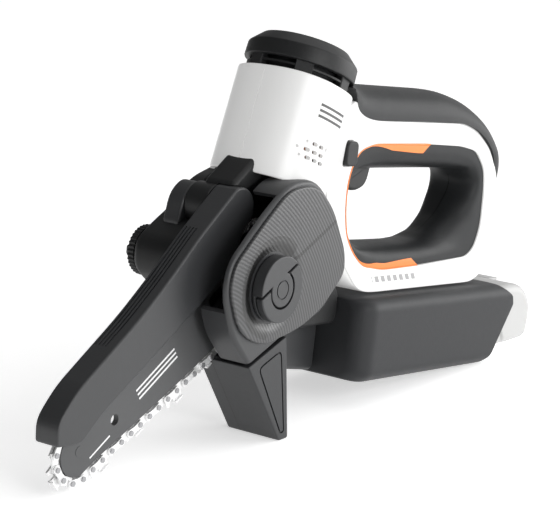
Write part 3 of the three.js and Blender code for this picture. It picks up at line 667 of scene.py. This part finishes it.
def inlay(side, start, end, widest):
    """A thin band that laps the rim's edge and follows the lining a little way in, between two bearings.
    Its width grows from a line, holds, and runs out to a point at the far end."""
    angle = np.radians(np.linspace(start, end, 120))[:, None]
    t = np.linspace(0, 1, 120)[:, None]
    width = 0.15 + widest * np.clip((t - 0.3) / 0.12, 0, 1) * np.clip((1 - t) / 0.1, 0.01, 1)
    rim = polar(RIM, angle)
    lap = rim + np.array([[0.75, 0.7, 0.1, -0.3]])
    lap_y = np.broadcast_to(np.array([[-20.1, -20.75, -20.8, -20.4]]), lap.shape)
    step = np.linspace(0, 1, 6)[None]
    over = rim - 0.5 - width * step
    lift = np.clip((rim - over) / (rim - polar(INNER_MID, angle)), 0, 0.97)
    over_y = -19.8 * np.sqrt(1 - lift ** (2 / LINING_POWER)) - 0.2
    radius = np.concatenate([lap, over, over[:, ::-1] + 0.5], 1)
    y = np.concatenate([lap_y, over_y, over_y[:, ::-1] + 1.2], 1)
    x = LOOP_CENTRE[0] + radius * np.cos(angle)
    z = LOOP_CENTRE[1] + radius * np.sin(angle)
    return np.stack([x, -side * y, z], -1)


GRIP_SEAT = [
    (66, 113), (76, 112), (82, 107), (89, 100), (98, 94.6), (112, 93.2), (160, 93.4), (222, 93), (243, 87),
    (259, 76), (267, 64), (271, 52), (276, 46),
]
GRIP_CROWN = [
    (67, 114), (80, 114.6), (104, 113.4), (150, 113), (200, 112.6), (229, 107), (256, 95), (273, 81),
    (285, 66), (289, 54), (286, 45),
]


def grip_rings():
    """The soft grip: at each step along the handle a closed dome from one side's edge over the crown to the
    other."""
    u = np.linspace(0, 1, 90)
    seat = even(np.array(GRIP_SEAT, float), 90, closed=False)
    crown = even(np.array(GRIP_CROWN, float), 90, closed=False)
    for line in (seat, crown):
        for _ in range(2):
            line[3:-3] = sum(line[3 + k : len(line) - 3 + k] for k in range(-3, 4)) / 7
    v = np.linspace(0, math.pi, 30)
    half = 20.7 - 9.0 * np.clip((u - 0.86) / 0.14, 0, 1) ** 1.5
    across = -np.sign(np.cos(v)) * np.abs(np.cos(v)) ** 0.8
    lift = np.abs(np.sin(v)) ** 0.8
    dome = seat[:, None] + (crown - seat)[:, None] * lift[None, :, None]
    half = np.maximum(half, half_width(seat[:, 0], seat[:, 1]) * (seat[:, 0] < 120) + 0.3)
    y = half[:, None] * across[None]
    rings = np.stack([dome[..., 0], y, dome[..., 1]], -1)
    return rings


# ---------------------------------------------------------------- battery housing and pack


def housing_rings():
    """Sections square to x: flat sides, rolled shoulders and bevelled lower edges, rounded in at the front,
    cut on a slant at the rear and folded back in to make the pocket."""
    corners = [
        (-26, -12.3, 2), (-35, -13, 4), (-40, -17.5, 4), (-40, -60, 3), (-34, -65, 2),
        (34, -65, 2), (40, -60, 3), (40, -17.5, 4), (35, -13, 4), (26, -12.3, 2),
    ]
    section = even(rounded(corners, 4), 160)
    y, z = section[:, 0], section[:, 1]
    slant = np.interp(z, [-65, -26, -20, -12], [252.0, 279, 277, 263])
    rings = []
    for turn in np.linspace(0.0, math.pi / 2, 9):
        close = 1 - math.sin(turn)
        rings.append(
            np.stack(
                [
                    np.full_like(y, 97.0 + 13 * (1 - math.cos(turn))), y * (1 - 0.33 * close),
                    -38 + (z + 38) * (1 - 0.1 * close)
                ],
                -1
            )
        )
    for t in (0.02, 0.25, 0.5, 0.75, 0.97):
        rings.append(np.stack([110 + (slant - 3 - 110) * t, y, z], -1))
    rings.append(np.stack([slant - 1.0, y, z], -1))
    rings.append(np.stack([slant, y * 0.985, -38 + (z + 38) * 0.98], -1))
    pocket_y = np.clip(y, -36.5, 36.5)
    pocket_z = np.clip(z, -55.2, -15.2)
    rings.append(np.stack([slant - 0.4, pocket_y, pocket_z], -1))
    rings.append(np.stack([np.full_like(y, 150.0), pocket_y, pocket_z], -1))
    return rings


# ---------------------------------------------------------------- chain


def chain_path():
    """The rivets' line: round the drive sprocket, along the bar's edges and round its nose, spaced one
    pitch apart."""
    edge = [(2, 24.5), (14, 25.4), (28, 25), (48, 23.4), (67, 21.5), (92, 18.9), (115, 16), (132, 13.9)]
    wrap = np.radians(np.linspace(100, 260, 13))
    nose = np.radians(np.linspace(-75, 75, 13))
    back = np.stack([SPROCKET_AT + 15.9 * np.cos(wrap), 15.9 * np.sin(wrap)], -1)
    front = np.stack([NOSE_AT + 16.2 * np.cos(nose), 16.2 * np.sin(nose)], -1)
    lower = np.array([(s, -t - 3.2) for s, t in edge])
    upper = np.array([(s, t + 3.2) for s, t in edge[::-1]])
    line = np.vstack([back, lower, front, upper])
    length = np.sum(np.linalg.norm(np.roll(line, -1, 0) - line, axis=1))
    return even(line, 2 * round(length / CHAIN_PITCH / 2))


def copies(template, y0, y1, starts, ends):
    """A flat outline given along and square to each link, set between y0 and y1 on every link."""
    template = np.array(template, float)
    run = ends - starts
    run /= np.linalg.norm(run, axis=1, keepdims=True)
    out = np.stack([run[:, 1], -run[:, 0]], -1)
    flat = starts[:, None] + template[None, :, :1] * run[:, None] + template[None, :, 1:] * out[:, None]
    tool = flat[..., :1] * ALONG + flat[..., 1:] * ABOVE
    count, size = flat.shape[:2]
    rings = [np.stack([tool[..., 0], np.full((count, size), y), tool[..., 1]], -1) for y in (y0, y1)]
    points = np.concatenate(rings, 1)
    base = np.arange(count)[:, None] * 2 * size
    j = np.arange(size)
    after = (j + 1) % size
    sides = np.stack([j, after, after + size, j + size], -1)[None] + base[..., None]
    faces = sides.reshape(-1, 4).tolist()
    faces += (j[None] + base).tolist() + (j[None] + size + base).tolist()
    return points.reshape(-1, 3), faces


def chain():
    """Every link of the chain: middle drive links with tangs, pairs of side plates, cutters and rivets."""
    rivets = chain_path()
    ahead = np.roll(rivets, -1, 0)
    p = 8.2
    plate = [(-2.3, -1.6), (-1.4, -2.4), (p / 2, -1.7), (p + 1.4, -2.4), (p + 2.3, -1.6), (p + 2.6, 0),
             (p + 2.2, 1.7), (p + 1.2, 2.5), (p / 2, 1.8), (-1.2, 2.5), (-2.2, 1.7), (-2.6, 0)]
    drive = [(-2.2, -1.9), (0.8, -2.4), (2.6, -6.2), (4.2, -6.8), (6.0, -2.6), (p + 2.2, -1.9),
             (p + 2.4, 0.4), (p + 1.2, 2.2), (p / 2, 2.3), (-1.2, 2.2), (-2.4, 0.4)]
    cutter = [(-2.6, -1.2), (-1.4, -2.3), (p / 2, -1.7), (p + 1.4, -2.3), (p + 2.6, -1.2), (p + 2.6, 1.4),
              (p + 2.4, 4.8), (p + 0.6, 5.0), (p - 0.6, 2.4), (4.4, 2.2), (4.6, 4.9), (3.8, 5.6),
              (-2.4, 5.0), (-2.9, 2.0)]
    top = [(3.9, 4.7), (3.9, 5.8), (-2.4, 5.2), (-2.5, 4.3)]
    round_rivet = circle(0, 0, 1.55, 10)
    even_links = np.arange(0, len(rivets), 2)
    odd_links = even_links + 1
    left_cut = even_links[1::4]
    right_cut = even_links[3::4]
    left_tie = np.setdiff1d(even_links, left_cut)
    right_tie = np.setdiff1d(even_links, right_cut)
    y = BAR_Y
    sets = [
        (drive, y - 0.65, y + 0.65, odd_links),
        (plate, y - 1.75, y - 0.75, left_tie),
        (plate, y + 0.75, y + 1.75, right_tie),
        (cutter, y - 1.9, y - 0.75, left_cut),
        (top, y - 2.9, y + 0.3, left_cut),
        (cutter, y + 0.75, y + 1.9, right_cut),
        (top, y - 0.3, y + 2.9, right_cut),
    ]
    points, faces, total = [], [], 0
    for template, y0, y1, links in sets:
        made, sides = copies(template, y0, y1, rivets[links], ahead[links])
        points.append(made)
        faces += [[total + k for k in face] for face in sides]
        total += len(made)
    heads = copies(round_rivet, y - 2.45, y + 2.45, rivets, ahead)
    return (np.vstack(points), faces), heads


# ---------------------------------------------------------------- assembly: motor and handle

for name, side in (("left", -1), ("right", 1)):
    tube = loft(f"barrel_{name}", barrel(side), WHITE)
    if side < 0:
        tube = carve(tube, *[slot_cutter(i, *spec) for i, spec in enumerate(vent_slots)])
    place(tube, "base", "white_shell", f"shell_{name}")
    half = loft(f"handle_half_{name}", handle_shell(side), WHITE, wrap=True)
    lock_hole = rounded([(78.4, 65.4, 4), (91.6, 65.4, 4), (91.6, 81.6, 4), (78.4, 81.6, 4)])
    carve(half, slab("lock_hole", lock_hole, -60, 60, WHITE, 0, 0))
    place(half, "base", "white_shell")

place(
    turned_on_motor(
        "motor_cap",
        [(8, 119), (8, 121.9), (25.2, 122), (26.2, 121.7), (32.5, 115.6), (33.1, 114.6), (33.3, 107),
         (33, 106.3), (32.3, 106), (29.5, 106), (29.5, 113), (24, 118.5)],
        SHADED_DARK,
    ),
    "base",
    "dark_plastic",
)
place(
    turned_on_motor("cap_centre", [(0.01, 119.5), (0.01, 121.95), (8.2, 121.95), (8.2, 119.5)], SHADED_DARK),
    "base",
    "dark_plastic",
    "motor_end_cap",
)
place(
    turned_on_motor("vent_rib", [(28.2, 102.4), (28.2, 103.5), (30.8, 103.5), (30.8, 102.4)], SHADED_DARK), "base",
    "dark_plastic"
)
place(
    turned_on_motor("vent_core", [(0.01, 97), (25, 97), (25, 107), (0.01, 107)], SOFT), "base", "dark_plastic"
)
posts = []
for k in range(6):
    spread = np.radians(np.array([-10.0, -9, 9, 10]))
    angle = math.radians(-140 + k * 60) + spread
    inner = on_motor(np.full(4, 27.0), np.full(4, 97.5), angle)
    outer = on_motor(np.array([30.8, 31.4, 31.4, 30.8]), np.full(4, 97.5), angle)
    ring = np.vstack([inner, outer[::-1]])
    posts.append(loft(f"post_{k}", [ring, ring + 9.2 * MOTOR_UP], SHADED_DARK))
for k, post in enumerate(posts):
    place(post, "base", "dark_plastic", *(["vent_ring"] if k == 0 else []))

place(loft("loop_lining", handle_liner(), SOFT, wrap=True), "base", "soft_black", "handle_liner")
place(loft("soft_grip", grip_rings(), SOFT, crease=60), "base", "soft_black", "grip_top")
for name, side in (("left", 1), ("right", -1)):
    upper = inlay(side, 177.0, 81.0, 4.8)
    lower = inlay(side, 177.0, 281.0, 4.2)
    place(loft(f"inlay_upper_{name}", upper, ORANGE), "base", "orange_inlay", f"trim_upper_{name}")
    place(loft(f"inlay_lower_{name}", lower, ORANGE), "base", "orange_inlay", f"trim_lower_{name}")

place(
    slab(
        "lock_bar", rounded([(79, 66, 4), (91, 66, 4), (91, 81, 4), (79, 81, 4)]), -24.4, 20.4, SHADED_DARK, 1.2, 1.2
    ),
    "lock",
    "dark_plastic",
    "lock_button",
)
place(
    slab(
        "trigger_blade",
        rounded([(106, 75, 1), (134, 74, 1), (133, 64), (130, 52, 6), (119, 48, 8), (107, 50, 5)]), -7.5, 7.5,
        SHADED_DARK, 2.4, 2.4
    ),
    "trigger",
    "dark_plastic",
    "trigger",
)

# ---------------------------------------------------------------- assembly: head

COVER = [
    (-42, -2, 14), (-40, 15, 12), (-14, 41, 12), (8, 59, 10), (34, 61, 14), (60, 38, 14), (75, 9, 12),
    (54, -18, 10), (20, -27.8, 3), (-13, -44, 3), (-32, -26, 10),
]
LENS_EDGE = [
    (-40, 0, 16), (-38, 14, 12), (-13, 38.5, 16), (6, 55, 10), (31, 57.5, 14), (50, 45, 10), (68, 18, 12),
    (70, 5, 8), (50, -15, 12), (30, -25, 14), (-6, -33, 14), (-28, -24, 12),
]
GEAR = [
    (-30, 22, 8), (-12, 38, 6), (2, 53, 8), (30, 62.5, 12), (54, 52, 12), (76, 16, 8), (95.4, -12.7, 2),
    (95.4, -30, 6), (48, -31, 6), (21.5, -28.4, 3), (-12.5, -43.5, 3), (-30, -26, 6), (-38, -4, 8),
]
LOBE = circle(*HINGE, LOBE_RADIUS, 26, -58, 118).tolist()
GUARD = [
    head(18, 47.2, 8), head(51.4, 41.6, 12), head(81, 38.1, 12), head(138, 35.8, 14), head(157, 30, 8),
    head(163, 19.4, 2), head(147.6, 8.3, 4), head(127, 11.5, 6), head(30, 12, 4), head(8, 13.2, 6),
    head(-8, 22, 6),
]
core = slab("gear_core", rounded(GEAR), -19.0, 33.5, SHADED_DARK, 2, 5)
foot = slab(
    "gear_foot", rounded([(60, 0, 3), (95.4, -12.7, 2), (95.4, -62, 6), (41, -56, 8), (40, -20, 3)]), -6, 33,
    DARK, 2, 4
)
carve(core, slab("gear_side", rounded(COVER), -33.0, 20, DARK, 2, 0), join=True)
recess = slab("recess", inset(rounded(COVER), -0.8), -60, -4.5, DARK, 0, 0)
full_turn = np.linspace(0, 2 * math.pi, 72, endpoint=False)
barrel_room = loft(
    "barrel_room",
    [on_motor(np.full(72, 33.4), np.full(72, height), full_turn) for height in (42.6, 130.0)],
    DARK,
)
front_room = slab("front_room", np.array([(-80, -80), (1.4, -80), (1.4, 80), (-80, 80)]), 1.8, 60, DARK, 0, 0)
lobe_room = disc("lobe_room", *HINGE, 13.4, -40, 28.5, DARK, 0, 0)
works_room = disc("works_room", *SPROCKET, 17.0, -6.0, 26.0, DARK, 0, 0)
guard_room = slab(
    "guard_room",
    on_bar((-30, 70), (60, 70), (60, 11.0), (30, 11.0), (7, 12.2), (-9, 21.2), (-15, 25.4)),
    -60, 0.6, DARK, 0, 0,
)
carve(core, recess, barrel_room, front_room, lobe_room, guard_room, works_room)
place(core, "base", "dark_plastic", "gear_housing_left", "gear_housing_right")
place(foot, "base", "dark_plastic")

cover = slab("cover_shell", rounded(COVER), -36, -16.6, DARK, 2.6, 0.3)
hollow = slab("hollow", inset(rounded(COVER), 2.8), -33.2, 0, DARK, 0, 0)
boss_hole = disc("boss_hole", 0, 0, 9.7, -60, -20, DARK, 0, 0)
SLOT = on_bar((-11, 60), (60, 60), (60, 10.6), (7, 11.8), (-6, 20), (-11, 24))
guard_slot = slab("guard_slot", SLOT, -33.2, 3, DARK, 0, 0)
carve(cover, hollow, boss_hole, guard_slot, disc("lobe_slot", *HINGE, 13.3, -33.2, 3, DARK, 0, 0))
place(cover, "base", "dark_plastic")
boss = disc("cover_boss", 0, 0, 13, -33.4, -10.2, DARK)
carve(
    boss, disc("stud_room", 0, 0, 4.7, -60, 20, DARK, 0, 0),
    disc("hub_room", 0, 0, 9.6, -60, -29.6, DARK, 0, 0)
)
place(boss, "base", "dark_plastic", "side_cover")

lens = slab("ribbed_plate", rounded(LENS_EDGE, 8), -38, -36.1, LENS, 0.9, 0.1)
scoop = loft(
    "scoop",
    [
        np.stack([r * np.cos(full_turn), np.full(72, y), r * np.sin(full_turn)], -1)
        for r, y in ((28.5, -39.5), (27.5, -38.2), (23.6, -36.6), (20.6, -36.2), (20.6, -30))
    ],
    LENS,
)
carve(lens, scoop)
place(lens, "base", "soft_black", "cover_inlay")

WING = math.radians(31)
WING_ALONG = np.array([math.cos(WING), math.sin(WING)])
WING_OUT = np.array([-math.sin(WING), math.cos(WING)])


def knob_arc(radius, edge, upper, count=40):
    """The part of a circle on one side of a line that runs parallel to the wing's hinge."""
    reach = math.asin(max(-1.0, min(1.0, edge / radius)))
    ends = (reach, math.pi - reach) if upper else (math.pi - reach, 2 * math.pi + reach)
    turn = np.linspace(*ends, count)
    return radius * (np.cos(turn)[:, None] * WING_ALONG + np.sin(turn)[:, None] * WING_OUT)


knob = disc("knob_base", 0, 0, KNOB_RADIUS, -38.7, -36.8, DARK, 0.3, 0.6, 96)
raised = slab("knob_raised", knob_arc(KNOB_RADIUS, 6.66, True), KNOB_FACE, -38.2, DARK, 0.7, 0.1)
centre = disc("knob_centre", 0, 0, 10, KNOB_FACE, -38.2, DARK, 0.6, 0.1)
carve(knob, raised, centre, join=True)
ring_groove = carve(
    disc("ring_groove", 0, 0, 5.6, -46, -43.4, DARK, 0, 0), disc("ring_keep", 0, 0, 4.8, -50, -40, DARK, 0, 0)
)
carve(knob, ring_groove, disc("stud_room", 0, 0, 4.4, -38.2, -20, DARK, 0, 0))
place(knob, "knob", "dark_plastic", "tension_knob")
hub = carve(disc("knob_hub", 0, 0, 9.0, -37.0, -30.2, DARK), disc("stud_room", 0, 0, 4.4, -60, 0, DARK, 0, 0))
place(hub, "knob", "dark_plastic")
wing = slab("knob_wing_flap", knob_arc(KNOB_RADIUS, 5.2, False, 60), KNOB_FACE, -39.6, DARK, 0.8, 0.4)
carve(wing, disc("centre_room", 0, 0, 11.2, -60, 0, DARK, 0, 0))
place(wing, "wing", "dark_plastic", "knob_wing")

panel_edge = rounded([(-4, -46, 5), (17, -36.5, 5), (28.5, -86, 3), (24.5, -87, 2)])
panel = slab("chute_panel", panel_edge, -40, -35.0, DARK, 0, 0)
carve(panel, slab("panel_keep", inset(panel_edge, 1.1), -50, 0, DARK, 0, 0))
place(
    carve(
        slab(
            "chute_body", rounded([(-13, -44.9, 1), (20.6, -29.4, 1), (33, -90, 2), (24, -91, 2)]), -36, 0.7,
            CHUTE, 1.0, 1.0
        ),
        panel,
        slab(
            "duct", rounded([(-8, -38), (17.4, -24), (30.4, -96), (26.4, -96), (24.8, -89), (-9.6, -45.4)]),
            -33.4, -1.8, DARK, 0, 0
        ),
    ),
    "base",
    "dark_plastic",
    "chip_chute",
)

guard = slab("guard_shell", rounded(GUARD + LOBE), -16, 0, DARK, 1.3, 1.3)
channel = slab(
    "channel",
    on_bar(
        (-40, 0), (-40, 31), (-8, 37), (12, 40.5), (51, 37.8), (81, 34.8), (134, 31.5), (157, 26.6),
        (162.4, 12), (170, 0),
    ),
    -13.4, -2.6, DARK, 0, 0,
)
grooves = []
for k in range(4):
    y = -9.4 + 2.3 * k
    line = on_bar(
        (14, 47.0), (52, 40.7), (82, 37.3), (104, 36.7), (104, 40), (82, 41), (52, 45), (14, 52)
    )
    grooves.append(slab(f"groove_{k}", line, y - 0.55, y + 0.55, DARK, 0, 0))
carve(guard, channel, *grooves)
place(guard, "guard", "dark_plastic", "chain_guard")
place(
    slab(
        "far_lobe",
        rounded([(-21, 46, 10), (-9, 54.6, 12), (4, 44, 10), (0, 31, 8), (-14, 26.6, 6), (-25, 26, 5)], 8),
        15.5, 27, DARK, 1.6, 1.6
    ),
    "guard",
    "dark_plastic",
    "guard_far_arm",
)
bracket = slab(
    "bracket_block", rounded([(11, 72.5, 4), (-12.5, 54, 4), (-9, 44), (2, 49.9), (14, 55.8), (24, 62)]), -11,
    10.5, SHADED_DARK, 3, 3
)
carve(bracket, disc("bracket_room", *HINGE, 13.0, -40, 0.3, DARK, 0, 0))
place(bracket, "base", "dark_plastic", "guard_bracket")
place(disc("hinge_knuckle", *HINGE, 12.2, 0.4, 15.1, SHADED_DARK), "base", "dark_plastic")

TANK = [(1.0, 46, 1), (-10, 37, 6), (-26, 27, 10), (-38, 18, 10), (-38, 2, 10), (-26, -7, 8), (1.0, -22, 1)]
tank = slab("tank_body", rounded(TANK, 8), 2.2, 36, SHADED_DARK, 1, 5)
carve(tank, disc("lobe_room", *HINGE, 13.4, -40, 28.5, DARK, 0, 0))
place(tank, "base", "dark_plastic", "oil_tank")
knurl_turn = np.linspace(0, 2 * math.pi, 288, endpoint=False)
knurl = (14.35 + 0.3 * np.cos(36 * knurl_turn))[:, None] * np.stack(
    [np.cos(knurl_turn), np.sin(knurl_turn)], -1
)
cap = slab("tank_cap", knurl + [-21, 10], 36.4, 41.4, SHADED_DARK, 0.3, 1.0)
place(cap, "cap", "dark_plastic", "oil_cap")
place(
    slab(
        "cap_tab", rounded([(-34, 7, 2), (-8, 7, 2), (-8, 13, 2), (-34, 13, 2)]), 40.8, 43.2, DARK, 0.2, 0.9
    ),
    "cap", "dark_plastic"
)

# ---------------------------------------------------------------- assembly: bar and chain

BAR_EDGE = [(-11, 17, 4), (2, 24.5, 6), (28, 25, 10), (67, 21.5, 20), (115, 16, 12), (139, 13.1)]
nose = [
    (NOSE_AT + NOSE_RADIUS * math.cos(a), NOSE_RADIUS * math.sin(a), 0)
    for a in np.radians(np.linspace(75, -75, 17))
]
bar_corners = [head(*c) for c in [*BAR_EDGE, *nose, *[(s, -t, *r) for s, t, *r in BAR_EDGE[::-1]]]]
bar = slab("bar_blade", rounded(bar_corners), BAR_Y - BAR_HALF, BAR_Y + BAR_HALF, BAR, 0.3, 0.3)
bar_slot = slab(
    "bar_slot", rounded([head(-6, 4.6, 4), head(24, 4.6, 4), head(24, -4.6, 4), head(-6, -4.6, 4)]), -60, 40,
    BAR, 0, 0
)
bar_hole = disc("bar_hole", *head(117, -3.8)[:2], 3.1, -60, 40, BAR, 0, 0, 32)
nose_room = slab(
    "nose_room",
    on_bar((133.5, 30), (170, 30), (170, -30), (133.5, -30)),
    BAR_Y - 0.8, BAR_Y + 0.8, BAR, 0, 0,
)
place(carve(bar, bar_slot, bar_hole, nose_room), "base", "grey_bar", "guide_bar")
links, rivet_heads = chain()
place(build("chain_links", *links, STEEL, crease=25), "base", "chain_steel", "saw_chain")
place(build("chain_rivets", *rivet_heads, IRON, crease=25), "base", "chain_steel")

# ---------------------------------------------------------------- assembly: battery end

place(
    loft("housing_shell", housing_rings(), HOUSING), "base", "dark_plastic", "battery_housing_left",
    "battery_housing_right"
)
PACK = [
    (156, -15.9, 1), (262, -15.9, 6), (284, -13.4, 6), (300, -15, 8),
    (313, -28, 8), (311, -52, 7), (284, -54.5, 6), (156, -54.5, 1),
]
pack = slab("pack_shell", rounded(PACK), -36, 36, PALE, 6, 6)
carve(
    pack,
    slab("button_room", np.array([(296.5, -26.4), (320, -26.4), (320, -5), (296.5, -5)]), -9, 9, PALE, 0, 0)
)
place(pack, "pack", "pale_plastic", "battery_pack")

for name, node in frame["nodes"].items():
    if not node.hide_render:
        slot_name = next(p["material_slot"] for p in frame["record"]["subparts"] if p["node"] == name)
        if name == "nose_hub":
            slot_name = "grey_bar"
        if name == "battery_button":
            slot_name = "pale_plastic"
        node.data.materials.clear()
        node.data.materials.append(SLOT_FINISH[slot_name])

# ---------------------------------------------------------------- floor, light and camera

floor_mesh = bpy.data.meshes.new("floor")
floor_mesh.from_pydata([(-40, -40, 0), (40, -40, 0), (40, 40, 0), (-40, 40, 0)], [], [(0, 1, 2, 3)])
floor = bpy.data.objects.new("floor", floor_mesh)
bpy.context.scene.collection.objects.link(floor)
floor_finish = finish("studio_floor", (0.9, 0.9, 0.9), 0.9, mottle=0.002)
floor_finish.node_tree.nodes["Principled BSDF"].inputs["Emission Color"].default_value = (1, 1, 1, 1)
floor_finish.node_tree.nodes["Principled BSDF"].inputs["Emission Strength"].default_value = 0.58
floor_mesh.materials.append(floor_finish)

world = bpy.data.worlds.new("studio")
world.use_nodes = True
sky = world.node_tree
way = Value(sky, sky.nodes.new("ShaderNodeTexCoord").outputs["Generated"])
towards = way.dot(tuple(0.81 * REAR - 0.57 * SIDE))
bright = towards.node("ShaderNodeMapRange", {}, {0: towards, 1: -0.1, 2: 0.8, 3: 0.12, 4: 1.0}, output=0)
sky.links.new(bright.socket, sky.nodes["Background"].inputs["Strength"])
sky.nodes["Background"].inputs["Color"].default_value = (1, 1, 1, 1)
bpy.context.scene.world = world


def lamp(name, place_mm, aim_mm, size, watts):
    """A square soft light that faces a point on the tool."""
    light = bpy.data.lights.new(name, "AREA")
    light.size = size
    light.energy = watts
    made = bpy.data.objects.new(name, light)
    bpy.context.scene.collection.objects.link(made)
    from_place, to = in_row(np.array([place_mm, aim_mm], float))
    direction = to - from_place
    made.rotation_euler = mathutils.Vector(direction).to_track_quat("-Z", "Y").to_euler()
    made.location = from_place
    return made


lamp("side_light", (-450, -1500, 450), (80, 0, 10), 0.9, 11)
lamp("soft_box", (1500, -1050, 200), (80, 0, 10), 1.7, 28)
sun = bpy.data.lights.new("overhead_light", "SUN")
sun.energy = 0.6
sun.angle = 1.2
overhead = bpy.data.objects.new("overhead_light", sun)
bpy.context.scene.collection.objects.link(overhead)
overhead.rotation_euler = mathutils.Vector((-0.30, 0.1, -1.0)).to_track_quat("-Z", "Y").to_euler()

CAMERA_PLACE = np.array([-881.1, -656.42, 157.75])
LOOK_RIGHT = np.array([0.58172, -0.80597, 0.1096])
LOOK_FORWARD = np.array([0.81224, 0.56843, -0.13099])
camera_data = bpy.data.cameras.new("camera")
camera_data.lens = 125.5
camera_data.sensor_width = 36.0
camera_data.clip_end = 100
camera = bpy.data.objects.new("camera", camera_data)
bpy.context.scene.collection.objects.link(camera)
turn = in_row(
    np.array([LOOK_RIGHT * 1000, np.cross(LOOK_RIGHT, LOOK_FORWARD) * 1000, -LOOK_FORWARD * 1000])
) - ZERO
matrix = np.eye(4)
matrix[:3, :3] = turn.T
matrix[:3, 3] = in_row(CAMERA_PLACE)
camera.matrix_world = mathutils.Matrix(matrix.tolist())
bpy.context.scene.camera = camera
bpy.context.scene.view_settings.view_transform = "Standard"
